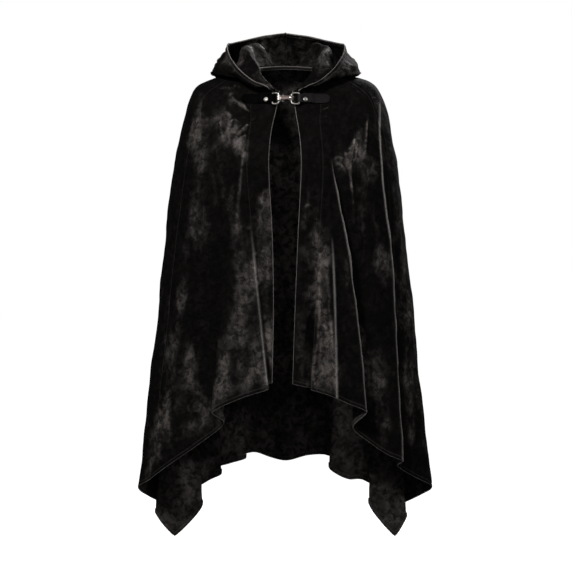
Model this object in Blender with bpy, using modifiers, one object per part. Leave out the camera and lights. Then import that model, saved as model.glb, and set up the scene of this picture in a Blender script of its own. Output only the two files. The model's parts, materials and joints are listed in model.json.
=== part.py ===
"""A hooded cape of crushed velvet, worn open and closed at the neck by a strap-and-hook clasp.

The cape hangs from the shoulders of a general figure. Five smooth rings give the shoulders, and
a table of folds gives the path of each fold line from the neck down to the hem, so each panel is
one stretch of the same surface. All sizes are in millimetres. +Z is up, -Y is the front, and -X
is the wearer's right. The origin is where the neck meets the shoulders, in the middle.
"""

import math
from collections import namedtuple

import bmesh
import bpy
from mathutils import Matrix, Vector
from mathutils.bvhtree import BVHTree

MM = 0.001
VELVET = 2.0  # the cloth's wall
TURNED_EDGE = 1.2  # how much thicker the wall is along a turned edge
TURNED_WIDTH = 9.0
TURNED_STEP = 2.5
SEAM_GAP = 0.2  # each panel stops this far short of its seam, as measured in the cloth

# The shoulders, as rings from the neck down. Depths and heights are given at the front, the
# side and the back of each ring. Square is the exponent of its superellipse. Settle is how far
# a fold has moved from its angle at the neck to its angle at the yoke, and pull is how far the
# clasp draws the front edge to the middle.
Ring = namedtuple("Ring", "name half_width front back side_z front_z back_z square settle pull")
RINGS = (
    Ring("neck", 62, 88, 62, 8, -51, 16, 2.0, 0.0, 0),
    Ring("slope", 130, 101, 94, -6, -93, -12, 2.1, 0.46, 6),
    Ring("point", 192, 117, 112, -27, -127, -48, 2.3, 0.90, 6),
    Ring("sleeve", 212, 131, 124, -60, -156, -92, 2.3, 0.96, 3),
    Ring("yoke", 242, 152, 138, -181, -209, -187, 2.2, 1.0, 0),
)
PULLED_TO = 40  # the clasp draws the cloth to the middle from the front edge to this angle
RING_ROUND = 1.6  # how fast a ring's height leaves that of its side
ROWS_TO_RING = (2, 2, 1, 2)
DROPS = (1 / 3, 2 / 3)  # the heights between yoke and hem where a fold may bow
ROWS_TO_DROP = (3, 1, 1)

# The folds of each half, from the front edge round to the back. Neck and yoke are angles from
# the front. X is how far the hem lies from the middle, y and z are its depth and height, and
# bow is how far the fold swings out half-way down. Inset is how far inside the yoke it starts.
# A turn is a fold's hidden inner edge.
Fold = namedtuple("Fold", "name neck yoke x y z bow inset", defaults=(0,))
FOLDS_RIGHT = (
    Fold("front_edge", 13, 7.1, 29, -160, -678, -6),
    Fold("turn", 26, 12.5, 57, -158, -685, 0),
    Fold("seam_ridge", 48, 18.2, 35, -180, -689, 4),
    Fold("panel", 53, 20.5, 96, -181, -710, 4),
    Fold("ridge", 57, 22.5, 156, -172, -741, 3),
    Fold("turn", 61, 25.0, 134, -140, -764, 0),
    Fold("hollow", 67, 35.0, 193, -118, -815, 0),
    Fold("swell", 75, 48.0, 245, -114, -851, 4),
    Fold("side_seam", 86, 61.0, 296, -80, -890, 0),
    Fold("outline", 93, 90.0, 324, -36, -911, 0),
    Fold("lining", 99, 98.0, 301, 14, -936, 0),
    Fold("turn", 104, 103, 262, 50, -958, 0, 2),
    Fold("turn", 106, 104, 254, 32, -962, 0, 9),
    Fold("corner", 109, 105, 286, -10, -969, 0, 13),
    Fold("tip", 114, 107.5, 245.5, 0, -1021, 0, 20),
    Fold("tip", 114.5, 108, 242.5, 0, -1020, 0, 20),
    Fold("corner", 121, 117, 186, 20, -956, 0, 10),
    Fold("turn", 126, 125, 214, 62, -934, 0, 3),
    Fold("fold", 132, 131, 170, 76, -904, 0),
    Fold("fold_edge", 137, 136, 143, 83, -891, 0),
    Fold("turn", 142, 141, 165, 112, -882, 0),
    Fold("fold", 149, 148, 122, 128, -870, 0),
    Fold("fold_edge", 154, 153, 90, 133, -860, 0),
    Fold("turn", 158, 157, 106, 158, -857, 0),
    Fold("wave", 165, 164, 72, 173, -849, 0),
    Fold("wave", 172, 172, 36, 183, -861, 0),
    Fold("centre_back", 180, 180, 0, 174, -868, 0),
)
FOLDS_LEFT = (
    Fold("front_edge", 13, 6.2, 13, -165, -680, -1),
    Fold("strip", 22, 10.0, 36, -173, -685, 1),
    Fold("turn", 34, 13.5, 65, -160, -690, 1),
    Fold("seam_ridge", 48, 17.0, 52, -186, -691, 1),
    Fold("dip", 51, 19.0, 81, -179, -700, 2),
    Fold("ridge", 54, 20.5, 108, -187, -710, 4),
    Fold("dip", 56, 22.0, 136, -175, -723, 4),
    Fold("ridge", 59, 24.0, 171, -168, -740, 9),
    Fold("turn", 62, 27.0, 145, -134, -775, 5, 5),
    Fold("hollow", 67, 35.0, 179, -122, -807, 3),
    Fold("swell", 75, 46.0, 219, -118, -834, 4),
    Fold("side_ridge", 81, 54.0, 247, -111, -848, 3),
    Fold("turn", 84, 57.0, 238, -96, -858, 2),
    Fold("side_seam", 86, 59.5, 252, -88, -869, 3),
    Fold("side", 90, 74.0, 286, -66, -889, 1),
    Fold("outline", 95, 90.0, 321, -25, -911, 0),
    Fold("lining", 99, 97.0, 296, 18, -933, 0),
    Fold("turn", 104, 102, 254, 51, -957, 0, 2),
    Fold("turn", 106, 103, 243, 35, -962, 0, 9),
    Fold("corner", 109, 104, 263, -6, -980, 0, 13),
    Fold("tip", 114, 106.5, 240.5, -2, -1021, 0, 20),
    Fold("tip", 114.5, 107, 237.5, -2, -1020, 0, 20),
    Fold("corner", 121, 117, 184, 20, -952, 0, 10),
    Fold("turn", 127, 125, 210, 62, -930, 0, 3),
    Fold("fold", 134, 132, 170, 85, -904, 0),
    Fold("fold", 140, 139, 137, 100, -904, 0),
    Fold("fold_edge", 147, 146, 97, 110, -880, 0),
    Fold("turn", 152, 151, 117, 142, -865, 0),
    Fold("wave", 160, 160, 87, 163, -854, 0),
    Fold("wave", 170, 170, 48, 180, -857, 0),
)
COLUMN_WIDTH = 20.0  # the hem is divided into columns of about this width

# The hood lies back off the head. Each section runs from the neck seam over the lip round the
# neck, down inside, under the foot that rests on the cape, up the outer wall and to the rim of
# the face opening. Radii are from the middle of the neck, and heights from the origin.
HoodSection = namedtuple(
    "HoodSection",
    "angle lip_r lip_z inner_r inner_z foot_r foot_z belly_r belly_z upper_r upper_z rim_r rim_z",
)
HOOD = (
    HoodSection(16, 88, -45.5, 91, -44.5, 94, -44.5, 97, -46, 99, -48.5, 100, -51.5),
    HoodSection(26, 81, -34, 85.5, -37, 90, -41, 99, -42, 105, -41, 105, -38),
    HoodSection(38, 76, -21, 82, -29, 91, -38, 107, -42, 113, -36, 108, -29),
    HoodSection(58, 72, 3, 80, -8, 97, -20, 122, -22, 127, -12, 117, -2),
    HoodSection(75, 76, 26, 87, 10, 112, -4, 146, -12, 142, 4, 122, 24),
    HoodSection(92, 83, 42, 96, 18, 130, 3, 167, -3, 147, 20, 128, 46),
    HoodSection(108, 95, 55, 112, 22, 142, 0, 172, -4, 152, 33, 137, 65),
    HoodSection(125, 100, 64, 122, 20, 152, -14, 180, -6, 166, 38, 147, 73),
    HoodSection(142, 101, 67, 119, 12, 153, -66, 190, -34, 180, 34, 151, 83),
    HoodSection(160, 103, 56, 116, -6, 147, -124, 196, -84, 189, 20, 152, 95),
    HoodSection(180, 88, 35, 106, -20, 141, -152, 196, -104, 190, 16, 150, 103),
)
HOOD_COLUMNS = (2, 2, 3, 3, 3, 3, 3, 3, 3, 3)  # between one section and the next
HOOD_ROWS = (2, 2, 2, 3, 2, 2)
HOOD_SEAM_RISE = 0.8
HOOD_CLEAR = 1.6  # the hood lies at least this far off the cape, beyond its first rows
HOOD_CLEAR_ROWS = 3
MITRE_LIMIT = 2.6
UNTANGLE_ROUNDS = 8
UNTANGLE_LEAST = 0.12

TAPE_WIDTH = 8.0
TAPE = 1.3
TAPE_INSET = 3.0
TAPE_ABOVE = 2.4  # how far the tape reaches above the neck seam
TAPE_FROM = 66.0
TAPE_STEPS = 30

# The clasp, in the plane that lies on the front edges where it is closed.
CLASP_Z = -68.5
CLASP_LIFT = 6.4  # from the cloth to the middle of the rings' wire
WIRE = 3.8
RING_HEIGHT = 26.0  # from wire to wire
OUTER_CORNER = 2.6  # of the ring, where the strap holds it
INNER_CORNER = 6.5
RING_SIDES = 10
OUTER_BAR_RIGHT, INNER_BAR_RIGHT = -29.3, -15.4
OUTER_BAR_LEFT, INNER_BAR_LEFT = 28.6, 11.4
STRAP_WIDTH = 22.0
STRAP_NECK = 0.86  # the share of its width that the strap keeps where it passes the ring
STRAP = 1.5
STRAP_END_RIGHT, STRAP_END_LEFT = -97.0, 95.0
LOOP_RADIUS = 3.0  # from the bar's middle to the middle of the leather round it
LAYER_LOW, LAYER_HIGH = 1.9, 4.3  # the middles of the strap's two layers, above the cloth
FOLD_BACK = 24.0  # how far the strap's end runs back beneath it, from the bar
LAP_FROM, LAP_TO = 9.0, 3.0  # the strap climbs onto its own end between these, past that end
STRAP_RISE = 8.5  # from the bar to where the strap leaves the cloth for the ring
RISE = 1.2  # how much higher the upper layer is there
STRAP_PINCH = 4.5  # from the bar to where the layers close round it
PINCH = 2.8  # and how far each lies from the wires' plane there
LOWER_LAYER = 0.98  # the share of its width that the hidden layer keeps
STRAP_END_TURNS = (8, 30, 55, 90)  # the steps round the strap's rounded end, in degrees
RIVET_RIGHT, RIVET_LEFT = -43.0, 42.0
RIVET_RADIUS = 5.4
RIVET_HEIGHT = 2.4
RIVET_GAP = 0.25
HOOK_WIDTH = 11.0
HOOK_DEPTH = 8.4
HOOK_ROUND = 3.6  # of the hook's two ends
WAIST_WIDTH = 7.9  # of the hook between its pivot and its left eye
WAIST_FROM, WAIST_TO = -2.5, 5.9
NOTCH = 5.0  # how deep the cutter of the waist is
EYE_RADIUS = 2.5
PIVOT_X = -6.5
PIVOT_LENGTH = 16.5
PIVOT_RADIUS = 1.3
PIVOT_RISE = 0.4
LEVER_WIDTH = 8.8
LEVER = 1.5
LEVER_GAP = 0.4
LEVER_ENDS = (-11.5, 13.4)
LEVER_ROUND = 2.4

COLOURS = {  # colour, roughness, metallic
    "velvet": ((0.012, 0.011, 0.012, 1), 0.75, 0.0),
    "tape": ((0.010, 0.010, 0.010, 1), 0.8, 0.0),
    "leather": ((0.010, 0.009, 0.010, 1), 0.4, 0.0),
    "steel": ((0.62, 0.60, 0.58, 1), 0.25, 1.0),
}


def clear_scene():
    for thing in list(bpy.data.objects):
        bpy.data.objects.remove(thing)


def material(name):
    colour, roughness, metallic = COLOURS[name]
    made = bpy.data.materials.new(name)
    made.use_nodes = True
    shader = made.node_tree.nodes["Principled BSDF"]
    shader.inputs["Base Color"].default_value = colour
    shader.inputs["Roughness"].default_value = roughness
    shader.inputs["Metallic"].default_value = metallic
    return made


def spline(knots, rows, counts):
    """Points of a smooth curve through rows of numbers, with counts[i] steps in stretch i."""

    def mixed(a, b, ta, tb, t):
        return [p + (q - p) * (t - ta) / (tb - ta) for p, q in zip(a, b)]

    first = [2 * p - q for p, q in zip(rows[0], rows[1])]
    last = [2 * p - q for p, q in zip(rows[-1], rows[-2])]
    rows = [first, *rows, last]
    knots = [2 * knots[0] - knots[1], *knots, 2 * knots[-1] - knots[-2]]
    made = []
    for i, count in enumerate(counts):
        t0, t1, t2, t3 = knots[i : i + 4]
        p0, p1, p2, p3 = rows[i : i + 4]
        for step in range(count + (i == len(counts) - 1)):
            t = t1 + (t2 - t1) * step / count
            a = mixed(p0, p1, t0, t1, t)
            b = mixed(p1, p2, t1, t2, t)
            c = mixed(p2, p3, t2, t3, t)
            made.append(mixed(mixed(a, b, t0, t2, t), mixed(b, c, t1, t3, t), t1, t2, t))
    return made


def knots_of(points):
    """Knots that are spaced by the square root of the distance, which keeps a curve from looping."""
    knots = [0.0]
    for a, b in zip(points, points[1:]):
        knots.append(knots[-1] + math.sqrt((Vector(a) - Vector(b)).length))
    return knots


def smooth_through(points, counts):
    return [Vector(p) for p in spline(knots_of(points), [tuple(p) for p in points], counts)]


def ring_point(ring, angle):
    """A point of a ring, at an angle that goes from the front round by the wearer's right."""
    sine, cosine = math.sin(math.radians(angle)), math.cos(math.radians(angle))
    wide = math.copysign(abs(sine) ** (2 / ring.square), sine)
    deep = math.copysign(abs(cosine) ** (2 / ring.square), cosine)
    depth, height = (ring.front, ring.front_z) if cosine > 0 else (ring.back, ring.back_z)
    z = ring.side_z + (height - ring.side_z) * abs(cosine) ** RING_ROUND
    drawn = ring.pull * max(0.0, 1 - min(angle, 360 - angle) / PULLED_TO)
    return Vector((-ring.half_width * wide + math.copysign(drawn, sine), -depth * deep, z))


def all_folds():
    """Both halves as one row, from the right front edge round the back to the left one."""
    right = [(f.name, f.neck, f.yoke, -f.x, f.y, f.z, -f.bow, f.inset) for f in FOLDS_RIGHT]
    left = [
        (f.name, 360 - f.neck, 360 - f.yoke, f.x, f.y, f.z, f.bow, f.inset) for f in FOLDS_LEFT
    ]
    return right + left[::-1]


def cape_columns():
    """One row of numbers for each column of the cape, and the columns where each fold lies."""
    folds = all_folds()
    hem = [fold[3:6] for fold in folds]
    counts = [
        math.ceil((Vector(a) - Vector(b)).length / COLUMN_WIDTH)
        for a, b in zip(hem, hem[1:])
    ]
    columns = spline(knots_of(hem), [fold[1:] for fold in folds], counts)
    places = [sum(counts[:i]) for i in range(len(folds))]
    return columns, [(fold[0], place) for fold, place in zip(folds, places)]


def turned_edge_rows(points):
    """Two more points near the end of a path, where its turned edge begins."""
    end, before = points[-1], points[-2]
    share = min(0.8, (TURNED_WIDTH + TURNED_STEP) / (before - end).length)
    step = share * TURNED_STEP / (TURNED_WIDTH + TURNED_STEP)
    return points[:-1] + [end.lerp(before, share), end.lerp(before, share - step), end]


def cape_path(neck, yoke, x, y, z, bow, inset):
    """The points of one column, from the neck over the shoulder to the hem."""
    points = [ring_point(ring, neck + (yoke - neck) * ring.settle) for ring in RINGS]
    away = Vector((points[-1].x, points[-1].y, 0)).normalized()
    points[-1] = points[-1] - away * inset
    hem = Vector((x, y, z))
    for drop in DROPS:
        swing = 4 * drop * (1 - drop) * bow
        points.append(points[len(RINGS) - 1].lerp(hem, drop) + Vector((swing, 0, 0)))
    return turned_edge_rows(smooth_through(points + [hem], ROWS_TO_RING + ROWS_TO_DROP))


def normals_of(grid):
    """The outward direction at each point of a grid of columns, as long as a mitred corner needs."""
    made = []
    last = len(grid) - 1
    for i, column in enumerate(grid):
        directions = []
        for j, point in enumerate(column):
            down = column[min(j + 1, len(column) - 1)] - column[max(j - 1, 0)]
            sides = [grid[k][j] - grid[k - 1][j] for k in (max(i, 1), min(i + 1, last))]
            faces = [side.cross(down).normalized() for side in sides]
            middle = (faces[0] + faces[1]).normalized()
            directions.append(middle * min(MITRE_LIMIT, 1 / max(0.1, middle.dot(faces[0]))))
        made.append(directions)
    return made


def wall(name, outer, inner, finish, collection):
    """One closed wall between two grids of columns. A loft between unlike sections has no primitive."""
    mesh = bmesh.new()
    skins = [[[mesh.verts.new(p * MM) for p in col] for col in grid] for grid in (outer, inner)]
    columns, rows = len(outer), len(outer[0])

    def face(*corners):
        mesh.faces.new(corners)

    for i in range(columns - 1):
        for j in range(rows - 1):
            one = (outer[i][j] - outer[i + 1][j + 1]).length
            other = (outer[i + 1][j] - outer[i][j + 1]).length
            for skin, turned in zip(skins, (False, True)):
                a, b = skin[i][j], skin[i + 1][j]
                c, d = skin[i + 1][j + 1], skin[i][j + 1]
                halves = ((a, b, c), (a, c, d)) if one < other else ((a, b, d), (b, c, d))
                for half in halves:
                    face(*(half[::-1] if turned else half))
    border = [(i, 0) for i in range(columns)]
    border += [(columns - 1, j) for j in range(1, rows)]
    border += [(i, rows - 1) for i in range(columns - 2, -1, -1)]
    border += [(0, j) for j in range(rows - 2, 0, -1)]
    for near, far in zip(border, border[1:] + border[:1]):
        (i, j), (k, m) = sorted((near, far), key=lambda place: (place[1], place[0]))
        a, b = skins[0][i][j], skins[0][k][m]
        c, d = skins[1][k][m], skins[1][i][j]
        face(a, d, c)
        face(a, c, b)
    bmesh.ops.recalc_face_normals(mesh, faces=mesh.faces)
    return finished(name, mesh, finish, collection)


def finished(name, mesh, finish, collection):
    data = bpy.data.meshes.new(name)
    mesh.to_mesh(data)
    mesh.free()
    thing = bpy.data.objects.new(name, data)
    thing.data.materials.append(finish)
    thing.data.shade_smooth()
    thing.data.set_sharp_from_angle(angle=math.radians(40))
    collection.objects.link(thing)
    return thing


def drawn_in(grid, at_start, at_end):
    """The grid with its first or last column moved in by the seam's gap."""
    made = [list(column) for column in grid]
    for wanted, edge, nearest in ((at_start, 0, 1), (at_end, -1, -2)):
        if wanted:
            made[edge] = [
                p + (q - p).normalized() * SEAM_GAP for p, q in zip(made[edge], grid[nearest])
            ]
    return made


def pulled_apart(grid, offset):
    """Evens out an offset skin wherever it has folded back over itself inside a tight bend."""
    columns, rows = len(grid), len(grid[0])
    pairs = [((i, j), (i + 1, j)) for i in range(columns - 1) for j in range(rows)]
    pairs += [((i, j), (i, j + 1)) for i in range(columns) for j in range(rows - 1)]
    for _ in range(UNTANGLE_ROUNDS):
        for (i, j), (k, m) in pairs:
            chord = grid[k][m] - grid[i][j]
            if (offset[k][m] - offset[i][j]).dot(chord) < UNTANGLE_LEAST * chord.length_squared:
                middle = (offset[k][m] + offset[i][j]) / 2
                offset[i][j] = middle - chord * UNTANGLE_LEAST * 0.6
                offset[k][m] = middle + chord * UNTANGLE_LEAST * 0.6
    return offset


def cloth_skins(grid, directions, inner_depth, outer_height, turned_rows=2):
    """Both skins of a cloth wall, thicker along its turned last rows."""
    last = len(grid[0]) - turned_rows
    skins = ([], [])
    for points, outward in zip(grid, directions):
        extra = TURNED_EDGE / 2 * min(1.0, (points[-1] - points[last - 1]).length / TURNED_WIDTH)
        more = [extra if j >= last else 0.0 for j in range(len(points))]
        for skin, offset, side in zip(skins, (outer_height, -inner_depth), (1, -1)):
            skin.append([p + n * (offset + side * m) for p, n, m in zip(points, outward, more)])
    return [pulled_apart(grid, skin) for skin in skins]


def make_cape(finish, collection):
    """The five panels, from the columns between one seam and the next."""
    columns, places = cape_columns()
    grid = [cape_path(*column) for column in columns]
    directions = normals_of(grid)
    ridges = [place for name, place in places if name == "seam_ridge"]
    sides = [place for name, place in places if name == "side_seam"]
    seams = [0, ridges[0], sides[0], sides[1], ridges[1], len(grid) - 1]
    names = (
        "front_strip_right",
        "front_panel_right",
        "back_panel",
        "front_panel_left",
        "front_strip_left",
    )
    outer, inner = cloth_skins(grid, directions, VELVET, 0)
    for i, name in enumerate(names):
        stretch = slice(seams[i], seams[i + 1] + 1)
        ends = (i > 0, i < len(names) - 1)
        wall(name, drawn_in(outer[stretch], *ends), drawn_in(inner[stretch], *ends), finish, collection)
    return grid


def neck_at(angle):
    """The radius and height of the neck seam in the direction of an angle."""
    ring = RINGS[0]
    sine, cosine = math.sin(math.radians(angle)), math.cos(math.radians(angle))
    depth, height = (ring.front, ring.front_z) if cosine > 0 else (ring.back, ring.back_z)
    radius = 1 / math.hypot(sine / ring.half_width, cosine / depth)
    turn = math.degrees(math.atan2(sine / ring.half_width, cosine / depth))
    z = ring.side_z + (height - ring.side_z) * abs(math.cos(math.radians(turn))) ** RING_ROUND
    return radius, z


def hood_grid(side):
    """The columns of one half of the hood, from the front edge to the centre seam. Side is -1 or 1."""
    angles = [(section.angle,) for section in HOOD]
    rows = []
    for section in HOOD:
        radius, z = neck_at(section.angle)
        rows.append((section.angle, radius, z + HOOD_SEAM_RISE, *section[1:]))
    knots = [angle[0] for angle in angles]
    grid = []
    for angle, *pairs in spline(knots, rows, HOOD_COLUMNS):
        turn = math.radians(angle)
        points = [
            Vector((side * r * math.sin(turn), -r * math.cos(turn), z))
            for r, z in zip(pairs[::2], pairs[1::2])
        ]
        grid.append(turned_edge_rows(smooth_through(points, HOOD_ROWS)))
    return grid


def lift_off(grid, front):
    """Moves the points of a grid that would lie nearer to the cape than they may."""
    for column in grid:
        for j, point in enumerate(column):
            wanted = HOOD_CLEAR * min(1.0, j / HOOD_CLEAR_ROWS)
            found, normal, _, _ = front.tree.find_nearest(point)
            height = (point - found).dot(normal)
            if height < wanted:
                column[j] = point + normal * (wanted - height)


def make_hood(front, finish, collection):
    """The hood's two halves, which meet at the seam over the crown."""
    for name, side in (("hood_right", -1), ("hood_left", 1)):
        grid = hood_grid(side)
        lift_off(grid, front)
        for point in grid[-1]:
            point.x = 0.0
        directions = [[n * -side for n in column] for column in normals_of(grid)]
        for direction in directions[-1]:
            direction.x = 0.0
        inside, outside = cloth_skins(grid, directions, 0, VELVET)
        wall(name, drawn_in(inside, False, True), drawn_in(outside, False, True), finish, collection)


def make_tape(finish, collection):
    """The tape sewn over the neck seam, round the inside of the back of the neck."""
    outer, inner = [], []
    for step in range(TAPE_STEPS + 1):
        angle = TAPE_FROM + (360 - 2 * TAPE_FROM) * step / TAPE_STEPS
        radius, z = neck_at(angle)
        turn = math.radians(angle)
        away = Vector((-math.sin(turn), -math.cos(turn), 0))
        for skin, r in ((outer, radius - TAPE_INSET), (inner, radius - TAPE_INSET - TAPE)):
            top = away * r + Vector((0, 0, z + TAPE_ABOVE))
            skin.append([top, top - Vector((0, 0, TAPE_WIDTH))])
    wall("neck_tape", outer, inner, finish, collection)


def tree_of(grid):
    """A search tree of the surface through a grid of columns."""
    points = [p for column in grid for p in column]
    rows = len(grid[0])
    faces = [
        (i * rows + j, (i + 1) * rows + j, (i + 1) * rows + j + 1, i * rows + j + 1)
        for i in range(len(grid) - 1)
        for j in range(rows - 1)
    ]
    return BVHTree.FromPolygons(points, faces)


class Front:
    """The outer face of the cape, and the plane of the clasp that lies on its front."""

    def __init__(self, grid):
        self.tree = tree_of(grid)
        reach = RING_HEIGHT / 2
        high, low = (self.hit(OUTER_BAR_RIGHT, CLASP_Z + s * reach)[0] for s in (1, -1))
        self.down = (low - high).normalized()
        self.down.x = 0.0
        self.down.normalize()
        self.out = Vector((0, self.down.z, -self.down.y))
        middle = self.hit(OUTER_BAR_RIGHT, CLASP_Z)[0]
        self.middle = Vector((0, middle.y, CLASP_Z)) + self.out * CLASP_LIFT

    def hit(self, x, z):
        """The front face's point and outward direction at x and z, seen from the front."""
        found, normal, _, _ = self.tree.ray_cast(Vector((x, -1000, z)), Vector((0, 1, 0)))
        if found is None:
            raise ValueError(f"the front has no cloth at {x}, {z}")
        return found, -normal if normal.y > 0 else normal

    def plane(self, x, rise, across):
        """A point of the clasp: rise is out from the wires' plane, and across is up along it."""
        return self.middle + Vector((x, 0, 0)) + self.out * rise - self.down * across


def strap_path(front, end, bar):
    """The middle line of a strap: over the cloth, round the ring's bar and back beneath itself.

    Each row has the place along x, how far it lies above the cloth, how far it lies above the
    wires' plane for the part round the bar, and its share of the strap's full width.
    """
    side = -1 if end < bar else 1
    radius = STRAP_WIDTH / 2
    made = []
    for turn in STRAP_END_TURNS:
        share = math.sin(math.radians(turn))
        made.append((end - side * radius * (1 - math.cos(math.radians(turn))), LAYER_LOW, None, share))
    double = bar + side * FOLD_BACK
    made.append((double + side * LAP_FROM, LAYER_LOW, None, 1.0))
    made.append((double + side * LAP_TO, LAYER_HIGH, None, 1.0))
    made.append((double - side * STRAP_RISE, LAYER_HIGH, None, 1.0))
    made.append((bar + side * STRAP_RISE, LAYER_HIGH + RISE, None, 1.0))
    made.append((bar + side * STRAP_PINCH, None, PINCH, STRAP_NECK))
    for turn in range(0, 181, 30):
        angle = math.radians(90 - turn)
        x = bar - side * LOOP_RADIUS * math.cos(angle)
        made.append((x, None, LOOP_RADIUS * math.sin(angle), STRAP_NECK))
    made.append((bar + side * STRAP_PINCH, None, -PINCH, STRAP_NECK))
    made.append((bar + side * STRAP_RISE, LAYER_LOW, None, LOWER_LAYER))
    made.append((double, LAYER_LOW, None, LOWER_LAYER))
    return made


def make_strap(name, front, end, bar, finish, collection):
    """A leather strap that lies on the cape and is folded round the bar of its ring."""
    side = -1 if end < bar else 1
    middle = []
    for x, lift, rise, share in strap_path(front, end, bar):
        column = []
        for step in (-1, -0.5, 0, 0.5, 1):
            across = step * share * STRAP_WIDTH / 2
            if rise is not None:
                column.append(front.plane(x, rise, across))
                continue
            z = front.plane(x, 0, across).z
            found, normal = front.hit(x, z)
            column.append(found + normal * lift)
        middle.append(column)
    directions = normals_of(middle)
    sign = STRAP / 2 * -side
    outer = [[p + n * sign for p, n in zip(*pair)] for pair in zip(middle, directions)]
    inner = [[p - n * sign for p, n in zip(*pair)] for pair in zip(middle, directions)]
    wall(name, outer, inner, finish, collection)
    return outer


def solid_from_curve(curve_object, collection):
    """A curve's tube as one closed mesh, with its caps welded."""
    bpy.context.view_layer.update()
    graph = bpy.context.evaluated_depsgraph_get()
    data = bpy.data.meshes.new_from_object(curve_object.evaluated_get(graph))
    welded = bmesh.new()
    welded.from_mesh(data)
    bmesh.ops.remove_doubles(welded, verts=welded.verts, dist=1e-6)
    welded.to_mesh(data)
    welded.free()
    made = bpy.data.objects.new(curve_object.name + "_solid", data)
    made.matrix_world = curve_object.matrix_world
    name = curve_object.name
    bpy.data.objects.remove(curve_object)
    made.name = name
    data.shade_smooth()
    collection.objects.link(made)
    return made


def make_ring(name, front, outer_bar, inner_bar, finish, collection):
    """A rectangular ring of round wire with rounded corners, standing in the clasp's plane."""
    side = 1 if inner_bar > outer_bar else -1
    reach = RING_HEIGHT / 2
    points = []
    for bar, corner, turns, toward in (
        (inner_bar, INNER_CORNER, range(0, 91, 18), side),
        (outer_bar, OUTER_CORNER, range(90, 181, 30), -side),
        (outer_bar, OUTER_CORNER, range(180, 271, 30), -side),
        (inner_bar, INNER_CORNER, range(270, 361, 18), side),
    ):
        x = bar - toward * corner
        for turn in turns:
            angle = math.radians(turn)
            across = math.copysign(reach - corner, 180 - turn if turns[0] != 180 else -1)
            points.append(
                front.plane(
                    x + side * corner * math.cos(angle), 0, across + corner * math.sin(angle)
                )
            )
    curve = bpy.data.curves.new(name, "CURVE")
    curve.dimensions = "3D"
    curve.bevel_depth = WIRE / 2 * MM
    curve.bevel_resolution = (RING_SIDES - 4) // 2
    line = curve.splines.new("POLY")
    line.points.add(len(points) - 1)
    for place, point in zip(line.points, points):
        place.co = (*(point * MM), 1)
    line.use_cyclic_u = True
    thing = bpy.data.objects.new(name, curve)
    collection.objects.link(thing)
    made = solid_from_curve(thing, collection)
    made.data.materials.clear()
    made.data.materials.append(finish)
    return made


def clasp_frame(front, x):
    """A matrix whose X is across the cape, Y is up along the clasp's plane and Z is out of it."""
    turn = Matrix((Vector((1, 0, 0)), -front.down, front.out)).transposed().to_4x4()
    return Matrix.Translation(front.plane(x, 0, 0) * MM) @ turn


def turned(name, profile, place, finish, collection, steps=20):
    """A turned solid from a profile of (radius, height) pairs, from the top down the outside."""
    mesh = bpy.data.meshes.new(name)
    points = [(radius * MM, 0, height * MM) for radius, height in profile]
    mesh.from_pydata(points, [(i, i + 1) for i in range(len(points) - 1)], [])
    thing = bpy.data.objects.new(name, mesh)
    screw = thing.modifiers.new("turn", "SCREW")
    screw.steps = screw.render_steps = steps
    screw.use_merge_vertices = True
    screw.merge_threshold = 0.00001
    thing.matrix_world = place
    mesh.materials.append(finish)
    collection.objects.link(thing)
    return thing


def make_rivet(name, leather, x, finish, collection):
    """A cap rivet, with a rolled rim round a small dished middle, seated on the leather."""
    tree = tree_of(leather)
    hits = []
    for step in range(-1, 12):
        reach = 0 if step < 0 else RIVET_RADIUS
        angle = math.radians(step * 30)
        start = Vector((x + reach * math.cos(angle), -1000, CLASP_Z + reach * math.sin(angle)))
        hits.append(tree.ray_cast(start, Vector((0, 1, 0))))
    found, normal = hits[0][0], hits[0][1]
    normal = -normal if normal.y > 0 else normal
    seat = RIVET_GAP + max((hit[0] - found).dot(normal) for hit in hits)
    turn = normal.to_track_quat("Z", "Y").to_matrix().to_4x4()
    place = Matrix.Translation((found + normal * seat) * MM) @ turn
    r, h = RIVET_RADIUS, RIVET_HEIGHT
    profile = (
        (0, h * 0.62),
        (r * 0.30, h * 0.66),
        (r * 0.48, h),
        (r * 0.72, h * 0.96),
        (r * 0.92, h * 0.66),
        (r, h * 0.25),
        (r * 0.97, 0),
        (0, 0),
    )
    return turned(name, profile, place, finish, collection)


def box_at(low, high):
    """A closed box mesh between two corners, in millimetres."""
    mesh = bmesh.new()
    bmesh.ops.create_cube(mesh, size=1)
    size = [(b - a) * MM for a, b in zip(low, high)]
    centre = [(a + b) / 2 * MM for a, b in zip(low, high)]
    bmesh.ops.scale(mesh, vec=size, verts=mesh.verts)
    bmesh.ops.translate(mesh, vec=centre, verts=mesh.verts)
    return mesh


def rod(name, radius, length, x, depth, sides, collection):
    """A rod that stands up along the clasp's plane, at x and at a depth out of that plane."""
    mesh = bmesh.new()
    bmesh.ops.create_cone(
        mesh,
        cap_ends=True,
        segments=sides,
        radius1=radius * MM,
        radius2=radius * MM,
        depth=length * MM,
        matrix=Matrix.Translation((x * MM, 0, depth * MM)) @ Matrix.Rotation(math.pi / 2, 4, "X"),
    )
    data = bpy.data.meshes.new(name)
    mesh.to_mesh(data)
    mesh.free()
    made = bpy.data.objects.new(name, data)
    collection.objects.link(made)
    return made


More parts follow.
